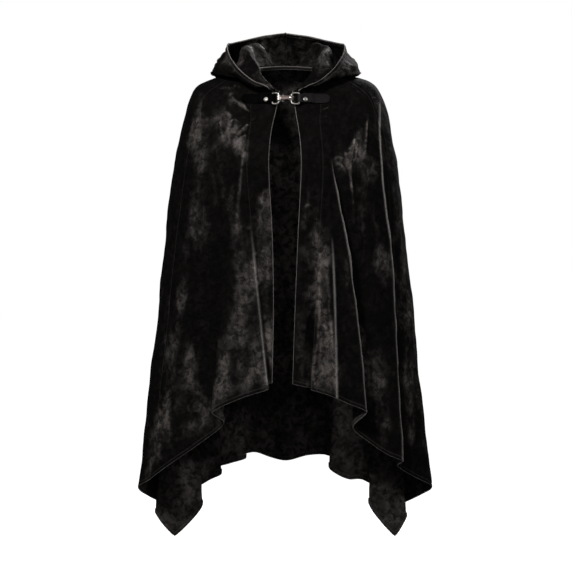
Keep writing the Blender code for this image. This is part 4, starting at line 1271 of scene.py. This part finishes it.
def tree_of(pieces: Sequence[bpy.types.Object], walls: bool) -> BVHTree:
    """A search tree of the surfaces of some pieces, in millimetres.

    Args:
        pieces: The pieces.
        walls: Whether it holds their walls too, or only the right side of each sheet.

    Returns:
        The tree.
    """
    graph = bpy.context.evaluated_depsgraph_get()
    points, faces = [], []
    for piece in pieces:
        shape = piece.evaluated_get(graph) if walls else piece
        data = shape.to_mesh()
        start = len(points)
        points += [vert.co / MM for vert in data.vertices]
        faces += [[start + index for index in face.vertices] for face in data.polygons]
        shape.to_mesh_clear()
    return BVHTree.FromPolygons(points, faces)


def met(surface: BVHTree, x: float, z: float) -> tuple[Vector, Vector]:
    """Where a line from the front meets a surface, and the way out of it there."""
    found, normal, _, _ = surface.ray_cast(Vector((x, RAY_START, z)), Vector((0, 1, 0)))
    return found, -normal if normal.y > 0 else normal


@dataclass(frozen=True)
class PanelCut:
    """How one panel is cut: its seams, how fine its sheet is, and its size laid flat."""

    name: str
    node: str
    start: tuple[str, int]
    end: tuple[str, int]
    columns: int
    open_ends: tuple[bool, bool]
    flat: tuple[float, float]
    area: float


@dataclass
class Cape:
    """The five panels of the cape."""

    cuts: tuple[PanelCut, ...] = (
        PanelCut(
            "strip_right_velvet",
            "front_strip_right",
            ("front_edge", -1),
            ("seam_ridge", -1),
            14,
            (True, False),
            (0.070, 0.700),
            0.0345,
        ),
        PanelCut(
            "panel_right_velvet",
            "front_panel_right",
            ("seam_ridge", -1),
            ("side_seam", -1),
            150,
            (False, False),
            (0.400, 0.990),
            0.168,
        ),
        PanelCut(
            "back_velvet",
            "back_panel",
            ("side_seam", -1),
            ("side_seam", 1),
            262,
            (False, False),
            (1.620, 1.000),
            0.940,
        ),
        PanelCut(
            "panel_left_velvet",
            "front_panel_left",
            ("side_seam", 1),
            ("seam_ridge", 1),
            150,
            (False, False),
            (0.360, 0.970),
            0.160,
        ),
        PanelCut(
            "strip_left_velvet",
            "front_strip_left",
            ("seam_ridge", 1),
            ("front_edge", 1),
            18,
            (False, True),
            (0.090, 0.700),
            0.041,
        ),
    )
    pieces: list[bpy.types.Object] = field(default_factory=list)

    def build(self, finishes: Sequence[bpy.types.Material]) -> None:
        """Cuts, works and dresses each panel."""
        form = CapeForm()
        for cut in self.cuts:
            start, end = form.place(*cut.start), form.place(*cut.end)
            grid = form.panel(start, end, cut.columns, cut.open_ends)
            cloth = Cloth(cut.name, grid)
            faces = (Face.FRONT, Face.BACK) if cut.node == "back_panel" else (Face.FRONT,)
            # painted sheen and shade of the right side and of the wrong side
            right_side = cloth.brushed(Face.FRONT) + cloth.brushed(Face.BACK)
            painted_light_amount = right_side, cloth.brushed(Face.INSIDE)
            cloth.worked(faces)
            piece = dressed(cloth.made(finishes, *painted_light_amount), Slot.VELVET, cut.node)
            self.pieces.append(piece)


@dataclass(frozen=True)
class HoodCrease:
    """A soft fold of the hood, through places given by angle and level.

    The levels are 0 at the neck seam, 1 at the lip, 2 at the inner fold, 3 at the foot, 4 at the
    belly, 5 above it and 6 at the rim. The height is towards the head.
    """

    line: tuple[tuple[float, float], ...]
    height: float
    width: float
    side: int = 0

    def lift(
        self, points: np.ndarray, place: Callable[[float, float], tuple[int, int]]
    ) -> np.ndarray:
        """How far it lifts the points of half a hood.

        Args:
            points: The half's grid.
            place: Finds the column and the row of an angle and a level.

        Returns:
            The lift of each point.
        """
        line = np.array([points[place(*spot)] for spot in self.line])
        line = smooth_through(line, knots_of(line), (6,) * (len(line) - 1))
        nearest = np.full(points.shape[:2], np.inf)
        along = np.zeros(points.shape[:2])
        for step, (a, b) in enumerate(zip(line, line[1:])):
            share = np.clip((points - a) @ (b - a) / ((b - a) @ (b - a)), 0, 1)
            gap = np.linalg.norm(points - a - share[..., None] * (b - a), axis=-1)
            along = np.where(gap < nearest, (step + share) / (len(line) - 1), along)
            nearest = np.minimum(gap, nearest)
        taper = np.clip(np.minimum(along, 1 - along) * 4, 0, 1)
        swell = np.exp(-((nearest / self.width) ** 2))
        return self.height * taper * taper * (3 - 2 * taper) * swell


HOOD_CREASES = (
    # round the outside of the fold, between its two bulges
    HoodCrease(((66, 4.75), (86, 4.8), (108, 4.85), (132, 4.8)), 6.0, 7.0),
    HoodCrease(((64, 4.1), (84, 4.1), (104, 4.1), (124, 4.1)), -4.0, 8.0),
    HoodCrease(((84, 5.4), (104, 5.5), (126, 5.5)), -3.0, 8.0),
    # inside, from the roll towards the middle
    HoodCrease(((128, 1.2), (146, 0.9), (160, 0.5)), 4.0, 6.0),
    HoodCrease(((120, 1.7), (134, 1.4), (148, 1.3)), -3.0, 6.0),
    HoodCrease(((150, 5.1), (157, 5.5), (154, 5.9)), 5.0, 6.0),
    HoodCrease(((163, 5.1), (168, 5.5), (165, 5.9)), 4.5, 5.0, -1),
    HoodCrease(((140, 5.0), (147, 5.4), (150, 5.8)), -4.0, 6.0, -1),
    HoodCrease(((158, 5.0), (166, 5.35), (172, 5.5)), 4.0, 6.0, 1),
    HoodCrease(((138, 5.2), (146, 5.6), (160, 5.75)), 4.0, 6.0, 1),
    # down the band between the lip and the rim
    HoodCrease(((62, 1.6), (74, 2.2), (88, 2.6)), 4.0, 6.0, 1),
    HoodCrease(((96, 1.3), (90, 2.0), (80, 2.6)), 3.5, 6.0, -1),
    HoodCrease(((44, 5.0), (54, 4.6), (66, 4.4)), -2.5, 6.0, -1),
    HoodCrease(((40, 4.4), (52, 4.8), (62, 5.3)), 2.5, 6.0, 1),
)


@dataclass(frozen=True)
class HoodSection:
    """A section of the hood at one angle, as radii and heights from the neck seam to the rim."""

    angle: float
    lip: tuple[float, float]
    inner: tuple[float, float]
    foot: tuple[float, float]
    belly: tuple[float, float]
    upper: tuple[float, float]
    rim: tuple[float, float]


def neck_at(angle: float) -> tuple[float, float]:
    """The radius and height of the neck seam in the direction of an angle."""
    ring = RINGS[0]
    sine, cosine = math.sin(math.radians(angle)), math.cos(math.radians(angle))
    depth, height = (ring.front, ring.front_z) if cosine > 0 else (ring.back, ring.back_z)
    radius = 1 / math.hypot(sine / ring.half_width, cosine / depth)
    turn = math.atan2(sine / ring.half_width, cosine / depth)
    return radius, ring.side_z + (height - ring.side_z) * abs(math.cos(turn)) ** RING_ROUND


@dataclass
class Hood:
    """The hood, which lies back off the head, in two halves that meet at the centre seam."""

    sections: tuple[HoodSection, ...] = (
        HoodSection(
            16, (88, -45.5), (91, -44.5), (94, -44.5), (97, -46), (99, -48.5), (100, -51.5)
        ),
        HoodSection(26, (81, -34), (85.5, -37), (90, -41), (99, -42), (105, -41), (105, -38)),
        HoodSection(38, (76, -21), (82, -29), (91, -38), (107, -42), (113, -36), (108, -29)),
        HoodSection(58, (72, 3), (80, -8), (97, -20), (122, -22), (127, -12), (117, -2)),
        HoodSection(75, (76, 26), (87, 10), (112, -4), (146, -12), (142, 4), (122, 24)),
        HoodSection(92, (83, 42), (96, 18), (130, 3), (167, -3), (147, 20), (128, 46)),
        HoodSection(108, (95, 55), (112, 22), (142, 0), (172, -4), (152, 33), (137, 65)),
        HoodSection(125, (100, 64), (122, 20), (152, -14), (180, -6), (166, 38), (147, 73)),
        HoodSection(142, (101, 67), (119, 12), (153, -66), (190, -34), (180, 34), (151, 83)),
        HoodSection(160, (93, 27), (112, -8), (147, -124), (196, -84), (189, 20), (152, 95)),
        HoodSection(180, (80, 19), (104, -20), (141, -152), (196, -104), (190, 16), (150, 103)),
    )
    columns: tuple[int, ...] = (7, 9, 13, 14, 15, 15, 15, 15, 15, 16)
    rows: tuple[int, ...] = (10, 13, 16, 22, 18)
    rows_to_rim: int = 16
    creases: tuple[HoodCrease, ...] = HOOD_CREASES
    # painted sheen at each level of the hood, from the neck seam to the rim, at its sides and
    # behind
    painted_light_right: tuple[float, ...] = (0.6, 0.45, 0.4, 0.1, 0.0, 0.1, 0.2)
    painted_light_left: tuple[float, ...] = (0.25, 0.25, 0.2, 0.15, 0.15, 0.3, 0.2)
    behind_right: tuple[float, ...] = (0.3, 0.3, 0.2, 0.1, 0.45, 0.65, 0.6)
    behind_left: tuple[float, ...] = (0.3, 0.3, 0.2, 0.1, 0.45, 0.5, 0.3)
    behind_from: float = 132.0
    behind_to: float = 156.0
    seam_rise: float = 0.8
    clear: float = 1.4
    clear_rows: int = 12
    seam_calm: float = 12.0
    edge_calm: float = 26.0
    lumps: tuple[tuple[float, float, float], ...] = ((46.0, 34.0, 5.0), (20.0, 18.0, 2.2))
    flat: tuple[float, float] = (0.360, 0.420)
    area: float = 0.0966
    pieces: list[bpy.types.Object] = field(default_factory=list)

    def grid(self, side: int) -> ClothGrid:
        """One half of the hood, from the front edge round to the centre seam.

        Args:
            side: The wearer's right (-1) or left (1).

        Returns:
            The half, as columns from the neck seam to the rim.
        """
        rows = []
        for section in self.sections:
            radius, z = neck_at(section.angle)
            places = (section.lip, section.inner, section.foot)
            places += (section.belly, section.upper, section.rim)
            flat = [number for place in places for number in place]
            rows.append((section.angle, radius, z + self.seam_rise, *flat))
        table = np.array(rows, float)
        fine = smooth_through(table, table[:, 0], self.columns)
        turn = np.radians(fine[:, :1])
        radii, heights = fine[:, 1::2], fine[:, 2::2]
        through = np.stack((side * radii * np.sin(turn), -radii * np.cos(turn), heights), axis=2)
        counts = (*self.rows, FINE_STEPS)
        points = banded(smooth_through(through, knots_of(through), counts), self.rows_to_rim)
        seamed = []
        for row in range(points.shape[1]):
            line = points[:, row]
            where = spaced(arcs_of(line)[-1], sum(self.columns), (0.0,), SEAM_BAND)
            seamed.append(picked(line, where))
        points = np.stack(seamed, axis=1)
        points[-1, :, 0] = 0.0
        up = CapeForm.distances_up(points)
        across = np.linalg.norm(np.diff(points, axis=0), axis=2)[::-1]
        zero = np.zeros((1, points.shape[1]))
        from_centre = np.concatenate((zero, np.cumsum(across, axis=0)))[::-1]
        from_neck = up[:, :1] - up
        seam = np.minimum(from_centre, from_neck)
        return ClothGrid(points, up, up, seam, from_centre, np.zeros_like(up), np.zeros_like(up))

    def place(self, angle: float, level: float) -> tuple[int, int]:
        """The column and the row of the hood's grid at an angle and a level."""
        angles = [section.angle for section in self.sections]
        columns = np.cumsum((0, *self.columns))
        rows = np.cumsum((0, *self.rows, self.rows_to_rim + len(EDGE_BAND) - 1))
        column = np.interp(angle, angles, columns)
        return round(float(column)), round(float(np.interp(level, range(len(rows)), rows)))

    def lift_off(self, points: np.ndarray, cape: BVHTree) -> np.ndarray:
        """Moves points that would lie nearer to the cape than they may.

        Args:
            points: The hood's points, as (columns, rows, 3).
            cape: The finished cape.

        Returns:
            The points, clear of it.
        """
        made = points.copy()
        for column in made:
            for row, point in enumerate(column):
                wanted = self.clear * min(1.0, row / self.clear_rows)
                found, normal, _, _ = cape.find_nearest(Vector(point), 40)
                if found is None:
                    continue
                height = (Vector(point) - found).dot(normal)
                if height < wanted:
                    point += np.array(normal * (wanted - height))
        return made

    def build(self, finish: bpy.types.Material, cape: BVHTree) -> None:
        """Makes and dresses both halves."""
        for name, node_name, side in (
            ("hood_right_velvet", "hood_right", -1),
            ("hood_left_velvet", "hood_left", 1),
        ):
            grid = self.grid(side)
            ends = near(np.minimum(grid.from_seam, grid.from_edge), self.edge_calm)
            lump = crumpled(grid.points.reshape(-1, 3), self.lumps)
            drawn = sum(
                crease.lift(grid.points, self.place)
                for crease in self.creases
                if crease.side != -side
            )
            drawn = side * drawn * (1 - near(grid.from_seam, self.seam_calm))
            grid.lifted(drawn + lump.reshape(ends.shape) * (1 - ends))
            cloth = Cloth(name, grid, facing=side)
            cloth.worked((), share=0.3)
            grid.points = self.lift_off(grid.points, cape)
            grid.points[-1, :, 0] = 0.0
            rows = np.cumsum((0, *self.rows, grid.points.shape[1] - 1 - sum(self.rows)))
            # painted sheen, blended by angle from the side's levels to those behind
            shares = (self.painted_light_right, self.behind_right)
            if side > 0:
                shares = (self.painted_light_left, self.behind_left)
            at_side, behind = (
                np.interp(np.arange(grid.points.shape[1]), rows, table)
                for table in shares
            )
            turned = self.place(self.behind_from, 0)[0], self.place(self.behind_to, 0)[0]
            share = np.interp(np.arange(len(grid.points)), turned, (0, 1))[:, None]
            painted_light_amount = at_side + (behind - at_side) * share
            piece = dressed(cloth.made((finish, finish), painted_light_amount, painted_light_amount), Slot.VELVET, node_name)
            self.pieces.append(piece)


@dataclass
class NeckTape:
    """The tape that is sewn over the neck seam, inside the back of the neck."""

    width: float = 8.0
    above: float = 2.4
    inset: float = 3.0
    start: float = 66.0
    steps: int = 72
    rows: int = 8
    wall: float = 1.1
    crown: float = 0.5
    flat: tuple[float, float] = (0.275, 0.010)
    area: float = 0.0022

    def build(self, finish: bpy.types.Material) -> None:
        """Makes and dresses the tape."""
        columns = []
        for angle in np.linspace(self.start, 360 - self.start, self.steps + 1):
            radius, z = neck_at(angle)
            turn = math.radians(angle)
            away = np.array((-math.sin(turn), -math.cos(turn), 0))
            share = np.linspace(0, 1, self.rows + 1)[:, None]
            crown = self.crown * (1 - (2 * share - 1) ** 2)
            top = np.array((0, 0, z + self.above))
            columns.append(away * (radius - self.inset - crown) + top - (0, 0, self.width) * share)
        points = np.array(columns)
        far = np.full(points.shape[:2], FAR)
        across = self.width * np.linspace(0, 1, self.rows + 1)
        edge = np.minimum(across, self.width - across) + 0 * far
        grid = ClothGrid(points, edge, far, far, far, 0 * far, 0 * far)
        cloth = Cloth("neck_tape_woven", grid, wall=self.wall, turned_wall=self.wall)
        piece = dressed(cloth.made((finish, finish), 0 * far, 0 * far), Slot.TAPE, "neck_tape")


@dataclass
class ClaspPlane:
    """The plane that the rings and the hook lie in, across the front of the neck."""

    middle: Vector = field(default_factory=lambda: Vector((0, -96.018, -66.057)))
    down: Vector = field(default_factory=lambda: Vector((0, -0.38179, -0.92425)))
    out: Vector = field(default_factory=lambda: Vector((0, -0.92425, 0.38179)))

    def at(self, x: float, rise: float, across: float) -> Vector:
        """A point at x, so far out of the plane and so far up along it."""
        return self.middle + Vector((x, 0, 0)) + self.out * rise - self.down * across

    def frame(self, x: float) -> Matrix:
        """A matrix in metres whose X is across the cloak, Y up along the plane and Z out."""
        turn = Matrix((Vector((1, 0, 0)), -self.down, self.out)).transposed().to_4x4()
        return Matrix.Translation(self.at(x, 0, 0) * MM) @ turn


@dataclass
class Strap:
    """One leather strap, folded round the bar of its ring and riveted to itself."""

    name: str
    node: str
    end: float
    bar: float
    rivet: float
    rivet_node: str
    width: float = 22.0
    neck: float = 0.86
    wall: float = 1.5
    loop: float = 3.0
    low: float = 1.9
    high: float = 4.3
    fold_back: float = 24.0
    rise_from: float = 8.5
    rise: float = 1.2
    pinch_from: float = 4.5
    pinch: float = 2.8
    lap: tuple[float, float] = (9.0, 3.0)
    across: int = 10
    steps: int = 4
    edge_round: float = 0.45

    def path(self) -> list[tuple[float, float | None, float | None, float]]:
        """The strap's middle line, as x, lift off the cloth, rise off the plane, and width."""
        side = -1 if self.end < self.bar else 1
        radius = self.width / 2
        made = []
        for turn in (6, 18, 32, 48, 68, 90):
            back = radius * (1 - math.cos(math.radians(turn)))
            made.append((self.end - side * back, self.low, None, math.sin(math.radians(turn))))
        double = self.bar + side * self.fold_back
        made.append((double + side * self.lap[0], self.low, None, 1.0))
        made.append((double + side * self.lap[1], self.high, None, 1.0))
        made.append((double - side * self.rise_from, self.high, None, 1.0))
        made.append((self.bar + side * self.rise_from, self.high + self.rise, None, 1.0))
        made.append((self.bar + side * self.pinch_from, None, self.pinch, self.neck))
        for turn in range(0, 181, 30):
            angle = math.radians(90 - turn)
            x = self.bar - side * self.loop * math.cos(angle)
            made.append((x, None, self.loop * math.sin(angle), self.neck))
        made.append((self.bar + side * self.pinch_from, None, -self.pinch, self.neck))
        made.append((self.bar + side * self.rise_from, self.low, None, 0.98))
        made.append((double, self.low, None, 0.98))
        return made

    def points(self, cloth: BVHTree, plane: ClaspPlane) -> np.ndarray:
        """The strap's middle surface, as rows across it from its free end round to the other."""
        rows = []
        for x, lift, rise, share in self.path():
            row = []
            for step in np.linspace(-1, 1, self.across + 1):
                reach = step * share * self.width / 2
                if rise is not None:
                    row.append(plane.at(x, rise, reach))
                    continue
                found, normal = met(cloth, x, plane.at(x, 0, reach).z)
                row.append(found + normal * lift)
            rows.append(row)
        through = np.array(rows, float).transpose(1, 0, 2)
        counts = (self.steps,) * (through.shape[1] - 1)
        return smooth_through(through, knots_of(through), counts).transpose(1, 0, 2)

    def build(
        self,
        cloth: BVHTree,
        plane: ClaspPlane,
        leather: bpy.types.Material,
        steel: bpy.types.Material,
    ) -> None:
        """Makes and dresses the strap and its rivet."""
        points = self.points(cloth, plane)
        far = np.full(points.shape[:2], FAR)
        grid = ClothGrid(points, far, far, far, far, 0 * far, 0 * far)
        side = -1 if self.end < self.bar else 1
        sheet = Cloth(self.name, grid, facing=side, wall=self.wall, turned_wall=self.wall)
        piece = sheet.made((leather, leather), 0 * far, 0 * far)
        piece.modifiers["wall"].offset = 0.0
        edges = piece.modifiers.new("edges", "BEVEL")
        edges.width = self.edge_round * MM
        edges.segments = 2
        edges.limit_method = "ANGLE"
        edges.angle_limit = math.radians(60)
        dressed(piece, Slot.LEATHER, self.node)
        self.rivet_on(tree_of([piece], walls=True), steel)

    def rivet_on(self, strap: BVHTree, steel: bpy.types.Material) -> None:
        """Makes and dresses the cap rivet, seated on the strap's face."""
        low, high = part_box(self.rivet_node)
        z = (low.z + high.z) / 2 / MM
        found, normal = met(strap, self.rivet, z)
        cap = CapRivet()
        mesh = bmesh.new()
        profile = [mesh.verts.new((r * MM, 0, h * MM)) for r, h in cap.profile]
        edges = [mesh.edges.new(pair) for pair in zip(profile, profile[1:])]
        bmesh.ops.spin(
            mesh,
            geom=profile + edges,
            axis=(0, 0, 1),
            cent=(0, 0, 0),
            angle=math.tau,
            steps=cap.steps,
            use_merge=True,
        )
        bmesh.ops.remove_doubles(mesh, verts=mesh.verts, dist=MERGED)
        bmesh.ops.recalc_face_normals(mesh, faces=mesh.faces)
        turn = normal.to_track_quat("Z", "Y").to_matrix().to_4x4()
        seat = Matrix.Translation((found + normal * cap.gap) * MM) @ turn
        bmesh.ops.transform(mesh, verts=mesh.verts, matrix=seat)
        dressed(finished(self.rivet_node + "_cap", mesh, steel), Slot.STEEL, self.rivet_node)


@dataclass(frozen=True)
class CapRivet:
    """A cap rivet's turned profile, from the middle of its dish out over the rim and under it."""

    profile: tuple[tuple[float, float], ...] = (
        (0, 1.25),
        (0.8, 1.27),
        (1.5, 1.42),
        (2.1, 1.86),
        (2.6, 2.24),
        (3.2, 2.38),
        (3.9, 2.28),
        (4.6, 1.92),
        (5.1, 1.36),
        (5.38, 0.72),
        (5.4, 0.30),
        (5.2, 0.05),
        (4.6, 0.0),
        (0, 0.0),
    )
    steps: int = 40
    gap: float = 0.2  # off the leather


def finished(name: str, mesh: bmesh.types.BMesh, finish: bpy.types.Material) -> bpy.types.Object:
    """Turns a bmesh into a piece at the origin, with its finish.

    Args:
        name: The piece's name.
        mesh: Its shape, in metres, in place.
        finish: Its finish.

    Returns:
        The piece.
    """
    data = bpy.data.meshes.new(name)
    mesh.to_mesh(data)
    mesh.free()
    data.materials.append(finish)
    data.shade_smooth()
    data.set_sharp_from_angle(angle=math.radians(50))
    piece = bpy.data.objects.new(name, data)
    bpy.context.scene.collection.objects.link(piece)
    return piece


@dataclass
class WireRing:
    """A rectangular ring of round wire, with wide corners on the side of the hook."""

    name: str
    node: str
    outer: float
    inner: float
    height: float = 26.0
    wire: float = 3.8
    outer_corner: float = 2.6
    inner_corner: float = 6.5
    corner_steps: int = 9
    round_steps: int = 16

    def line(self) -> list[tuple[float, float, float, float]]:
        """The wire's middle line: x and the rise along the plane, and the way out of the ring."""
        side = 1 if self.inner > self.outer else -1
        made = []
        for quarter, (bar, corner, toward) in enumerate(
            (
                (self.inner, self.inner_corner, side),
                (self.outer, self.outer_corner, -side),
                (self.outer, self.outer_corner, -side),
                (self.inner, self.inner_corner, side),
            )
        ):
            x = bar - toward * corner
            up = (self.height / 2 - corner) * (1 if quarter < 2 else -1)
            for step in range(self.corner_steps + 1):
                turn = math.radians(90 * (quarter + step / self.corner_steps))
                out = (side * math.cos(turn), math.sin(turn))
                made.append((x + corner * out[0], up + corner * out[1], *out))
        return made

    def build(self, plane: ClaspPlane, steel: bpy.types.Material) -> None:
        """Makes and dresses the ring."""
        line = self.line()
        mesh = bmesh.new()
        bmesh.ops.create_grid(
            mesh, x_segments=len(line), y_segments=self.round_steps, size=0.5
        )
        for vert in mesh.verts:
            i = round((vert.co.x + 0.5) * len(line)) % len(line)
            turn = math.tau * round((vert.co.y + 0.5) * self.round_steps) / self.round_steps
            x, up, away_x, away_up = line[i]
            reach = self.wire / 2 * math.cos(turn)
            rise = self.wire / 2 * math.sin(turn)
            vert.co = plane.at(x + reach * away_x, rise, up + reach * away_up) * MM
        bmesh.ops.remove_doubles(mesh, verts=mesh.verts, dist=MERGED)
        bmesh.ops.recalc_face_normals(mesh, faces=mesh.faces)
        dressed(finished(self.name, mesh, steel), Slot.STEEL, self.node)


@dataclass
class SnapHook:
    """The snap hook between the rings: its body, its pivot and its thumb lever."""

    lever_ends: tuple[float, float] = (-14.0, 12.6)
    lever_width: float = 10.4
    lever_low: float = 4.6
    lever_wall: float = 1.5
    crown: float = 0.55
    thumb: tuple[float, float, float] = (3.0, 4.6, 1.7)
    thumb_at: tuple[float, float, float] = (9.6, 0.0, 6.2)

    def build(
        self, plane: ClaspPlane, steel: bpy.types.Material, worn: bpy.types.Material
    ) -> None:
        """Gives the body its finish, and makes and dresses the lever."""
        body = bpy.data.objects["snap_hook"]
        body.data.materials.clear()
        body.data.materials.append(steel)
        mesh = bmesh.new()
        bmesh.ops.create_grid(mesh, x_segments=24, y_segments=10, size=0.5)
        for vert in mesh.verts:
            along, across = vert.co.x + 0.5, vert.co.y * 2
            x = self.lever_ends[0] + along * (self.lever_ends[1] - self.lever_ends[0])
            end = max(0.0, abs(2 * along - 1) - 0.82) / 0.18
            narrow = 1 - 0.12 * along - 0.3 * end**2
            high = self.lever_low + self.lever_wall + self.crown * (1 - across**2) - 0.5 * end
            vert.co = (x * MM, across * narrow * self.lever_width / 2 * MM, high * MM)
        bmesh.ops.transform(mesh, verts=mesh.verts, matrix=plane.frame(0))
        piece = finished("snap_lever_plate", mesh, worn)
        wall = piece.modifiers.new("wall", "SOLIDIFY")
        wall.thickness = self.lever_wall * MM
        wall.offset = -1.0
        edges = piece.modifiers.new("edges", "BEVEL")
        edges.width = 0.4 * MM
        edges.segments = 2
        dressed(piece, Slot.STEEL, "snap_lever")
        mesh = bmesh.new()
        bmesh.ops.create_uvsphere(mesh, u_segments=28, v_segments=14, radius=1.0)
        bmesh.ops.scale(mesh, verts=mesh.verts, vec=Vector(self.thumb) * MM)
        bmesh.ops.translate(mesh, verts=mesh.verts, vec=Vector(self.thumb_at) * MM)
        bmesh.ops.transform(mesh, verts=mesh.verts, matrix=plane.frame(0))
        dressed(finished("snap_lever_thumb", mesh, steel), Slot.STEEL)


# ---------------------------------------------------------------- the studio


@dataclass(frozen=True)
class SoftBox:
    """A soft studio light: where it stands and what it aims at in metres, its size and power."""

    name: str
    place: tuple[float, float, float]
    size: float
    power: float
    aim: tuple[float, float, float] = (0.0, 0.0, -0.45)


@dataclass
class Studio:
    """The floor, the world, the lights and the camera."""

    floor_z: float = -1.42
    floor_radius: float = 60.0
    lit_from: float = 1.6
    lit_to: float = 3.4
    boxes: tuple[SoftBox, ...] = (
        SoftBox("key", (-1.7, -3.3, 2.5), 0.9, 120.0),
        SoftBox("fill", (3.8, -1.8, 1.0), 1.2, 26.0),
        SoftBox("front", (0.2, -4.8, -0.8), 2.8, 11.0),
        SoftBox("back", (1.9, 3.2, 2.6), 0.9, 150.0),
    )

    def build(self) -> None:
        """Sets up everything round the cloak."""
        self.floor()
        self.world()
        for box in self.boxes:
            self.light(box)
        self.camera()

    def floor(self) -> None:
        """A pale floor that runs into a white background."""
        mesh = bmesh.new()
        bmesh.ops.create_circle(
            mesh, cap_ends=True, segments=96, radius=self.floor_radius
        )
        bmesh.ops.translate(mesh, verts=mesh.verts, vec=(0, 0, self.floor_z))
        finish, tree, shader = blank("pale_floor")
        place = node(tree, "ShaderNodeTexCoord").outputs["Object"]
        flat = node(tree, "ShaderNodeVectorMath", {0: place, 1: (1, 1, 0)}, operation="MULTIPLY")
        reach = node(tree, "ShaderNodeVectorMath", {0: flat.outputs[0]}, operation="LENGTH")
        glow = node(
            tree,
            "ShaderNodeMapRange",
            {0: reach.outputs["Value"], 1: self.lit_from, 2: self.lit_to, 3: 0.0, 4: 1.0},
            interpolation_type="SMOOTHSTEP",
        ).outputs[0]
        tree.links.new(glow, shader.inputs["Emission Strength"])
        shader.inputs["Emission Color"].default_value = (1, 1, 1, 1)
        shader.inputs["Base Color"].default_value = linear("#ececea")
        shader.inputs["Roughness"].default_value = 0.9
        shader.inputs["Specular IOR Level"].default_value = 0.1
        floor = finished("floor", mesh, finish)
        floor.visible_diffuse = floor.visible_glossy = False  # it would light the folds from below

    def world(self) -> None:
        """A white background that lights the cloak softly, more from above than from below."""
        world = bpy.data.worlds.new("studio")
        bpy.context.scene.world = world
        world.use_nodes = True
        tree = world.node_tree
        back = tree.nodes["Background"]
        path = node(tree, "ShaderNodeLightPath").outputs["Is Camera Ray"]
        aim = node(tree, "ShaderNodeTexCoord").outputs["Generated"]
        up = node(tree, "ShaderNodeSeparateXYZ", {0: aim}).outputs["Z"]
        values = {0: up, 1: -0.4, 2: 0.9, 3: 0.02, 4: 0.1}
        soft = node(tree, "ShaderNodeMapRange", values).outputs[0]
        strength = node(tree, "ShaderNodeMix", {"Factor": path}, data_type="FLOAT")
        tree.links.new(soft, strength.inputs[2])
        strength.inputs[3].default_value = 1.0
        tree.links.new(strength.outputs[0], back.inputs["Strength"])
        back.inputs["Color"].default_value = (1, 1, 1, 1)

    def light(self, box: SoftBox) -> None:
        """Makes one soft light, which doesn't show itself."""
        data = bpy.data.lights.new(box.name, "AREA")
        data.shape = "DISK"
        data.size = box.size
        data.energy = box.power
        lamp = bpy.data.objects.new(box.name, data)
        bpy.context.scene.collection.objects.link(lamp)
        lamp.location = box.place
        aim = Vector(box.aim) - Vector(box.place)
        lamp.rotation_euler = aim.to_track_quat("-Z", "Y").to_euler()
        lamp.visible_camera = False

    def camera(self) -> None:
        """The camera, level with the middle of the picture."""
        data = bpy.data.cameras.new("camera")
        data.sensor_width = SENSOR
        data.lens = SENSOR * CAMERA_DISTANCE / VIEW_WIDTH
        data.clip_end = 200.0
        eye = bpy.data.objects.new("camera", data)
        bpy.context.scene.collection.objects.link(eye)
        eye.location = (VIEW_ASIDE * MM, -CAMERA_DISTANCE * MM, CAMERA_HEIGHT * MM)
        eye.rotation_euler = (math.radians(90), 0, 0)
        bpy.context.scene.camera = eye


def main() -> None:
    """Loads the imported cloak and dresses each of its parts."""
    logging.basicConfig(level=logging.INFO, format="%(message)s")
    for thing in list(bpy.data.objects):
        bpy.data.objects.remove(thing)
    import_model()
    bpy.context.scene.view_settings.view_transform = "Standard"
    Studio().build()
    velvet = CrushedVelvet().made()
    # the wrong side, given more painted sheen everywhere, where little light reaches it
    back = CrushedVelvet(
        "velvet_inside",
        "inside",
        everywhere=0.2,
        marks=0.85,
        tear=0.15,
        creased=0.0,
        gloss=0.1,
        sheen=0.02,
    ).made()
    tape, leather, steel = WovenTape().made(), Leather().made(), PlatedSteel().made()
    # a darker, redder copy of the nickel plate, for the lever plate
    darker_steel = PlatedSteel("worn_nickel_plate", bright="#b09d97", dull="#5f5450").made()
    cape = Cape()
    cape.build((velvet, back))
    surface = tree_of(cape.pieces, walls=False)
    hood = Hood()
    hood.build(velvet, surface)
    NeckTape().build(tape)
    plane = ClaspPlane()
    right = Strap("strap_right_leather", "strap_right", -97.0, -29.3, -43.0, "rivet_right")
    left = Strap("strap_left_leather", "strap_left", 95.0, 28.6, 42.0, "rivet_left")
    right.build(surface, plane, leather, steel)
    # the left strap: a copy of the leather painted lighter, as where the light falls on it
    left.build(surface, plane, Leather("rubbed_leather", lit="#2b2729", gloss=0.16).made(), steel)
    WireRing("ring_right_wire", "ring_right", -29.3, -15.4).build(plane, steel)
    WireRing("ring_left_wire", "ring_left", 28.6, 11.4).build(plane, steel)
    SnapHook().build(plane, steel, darker_steel)


if __name__ == "__main__":
    main()
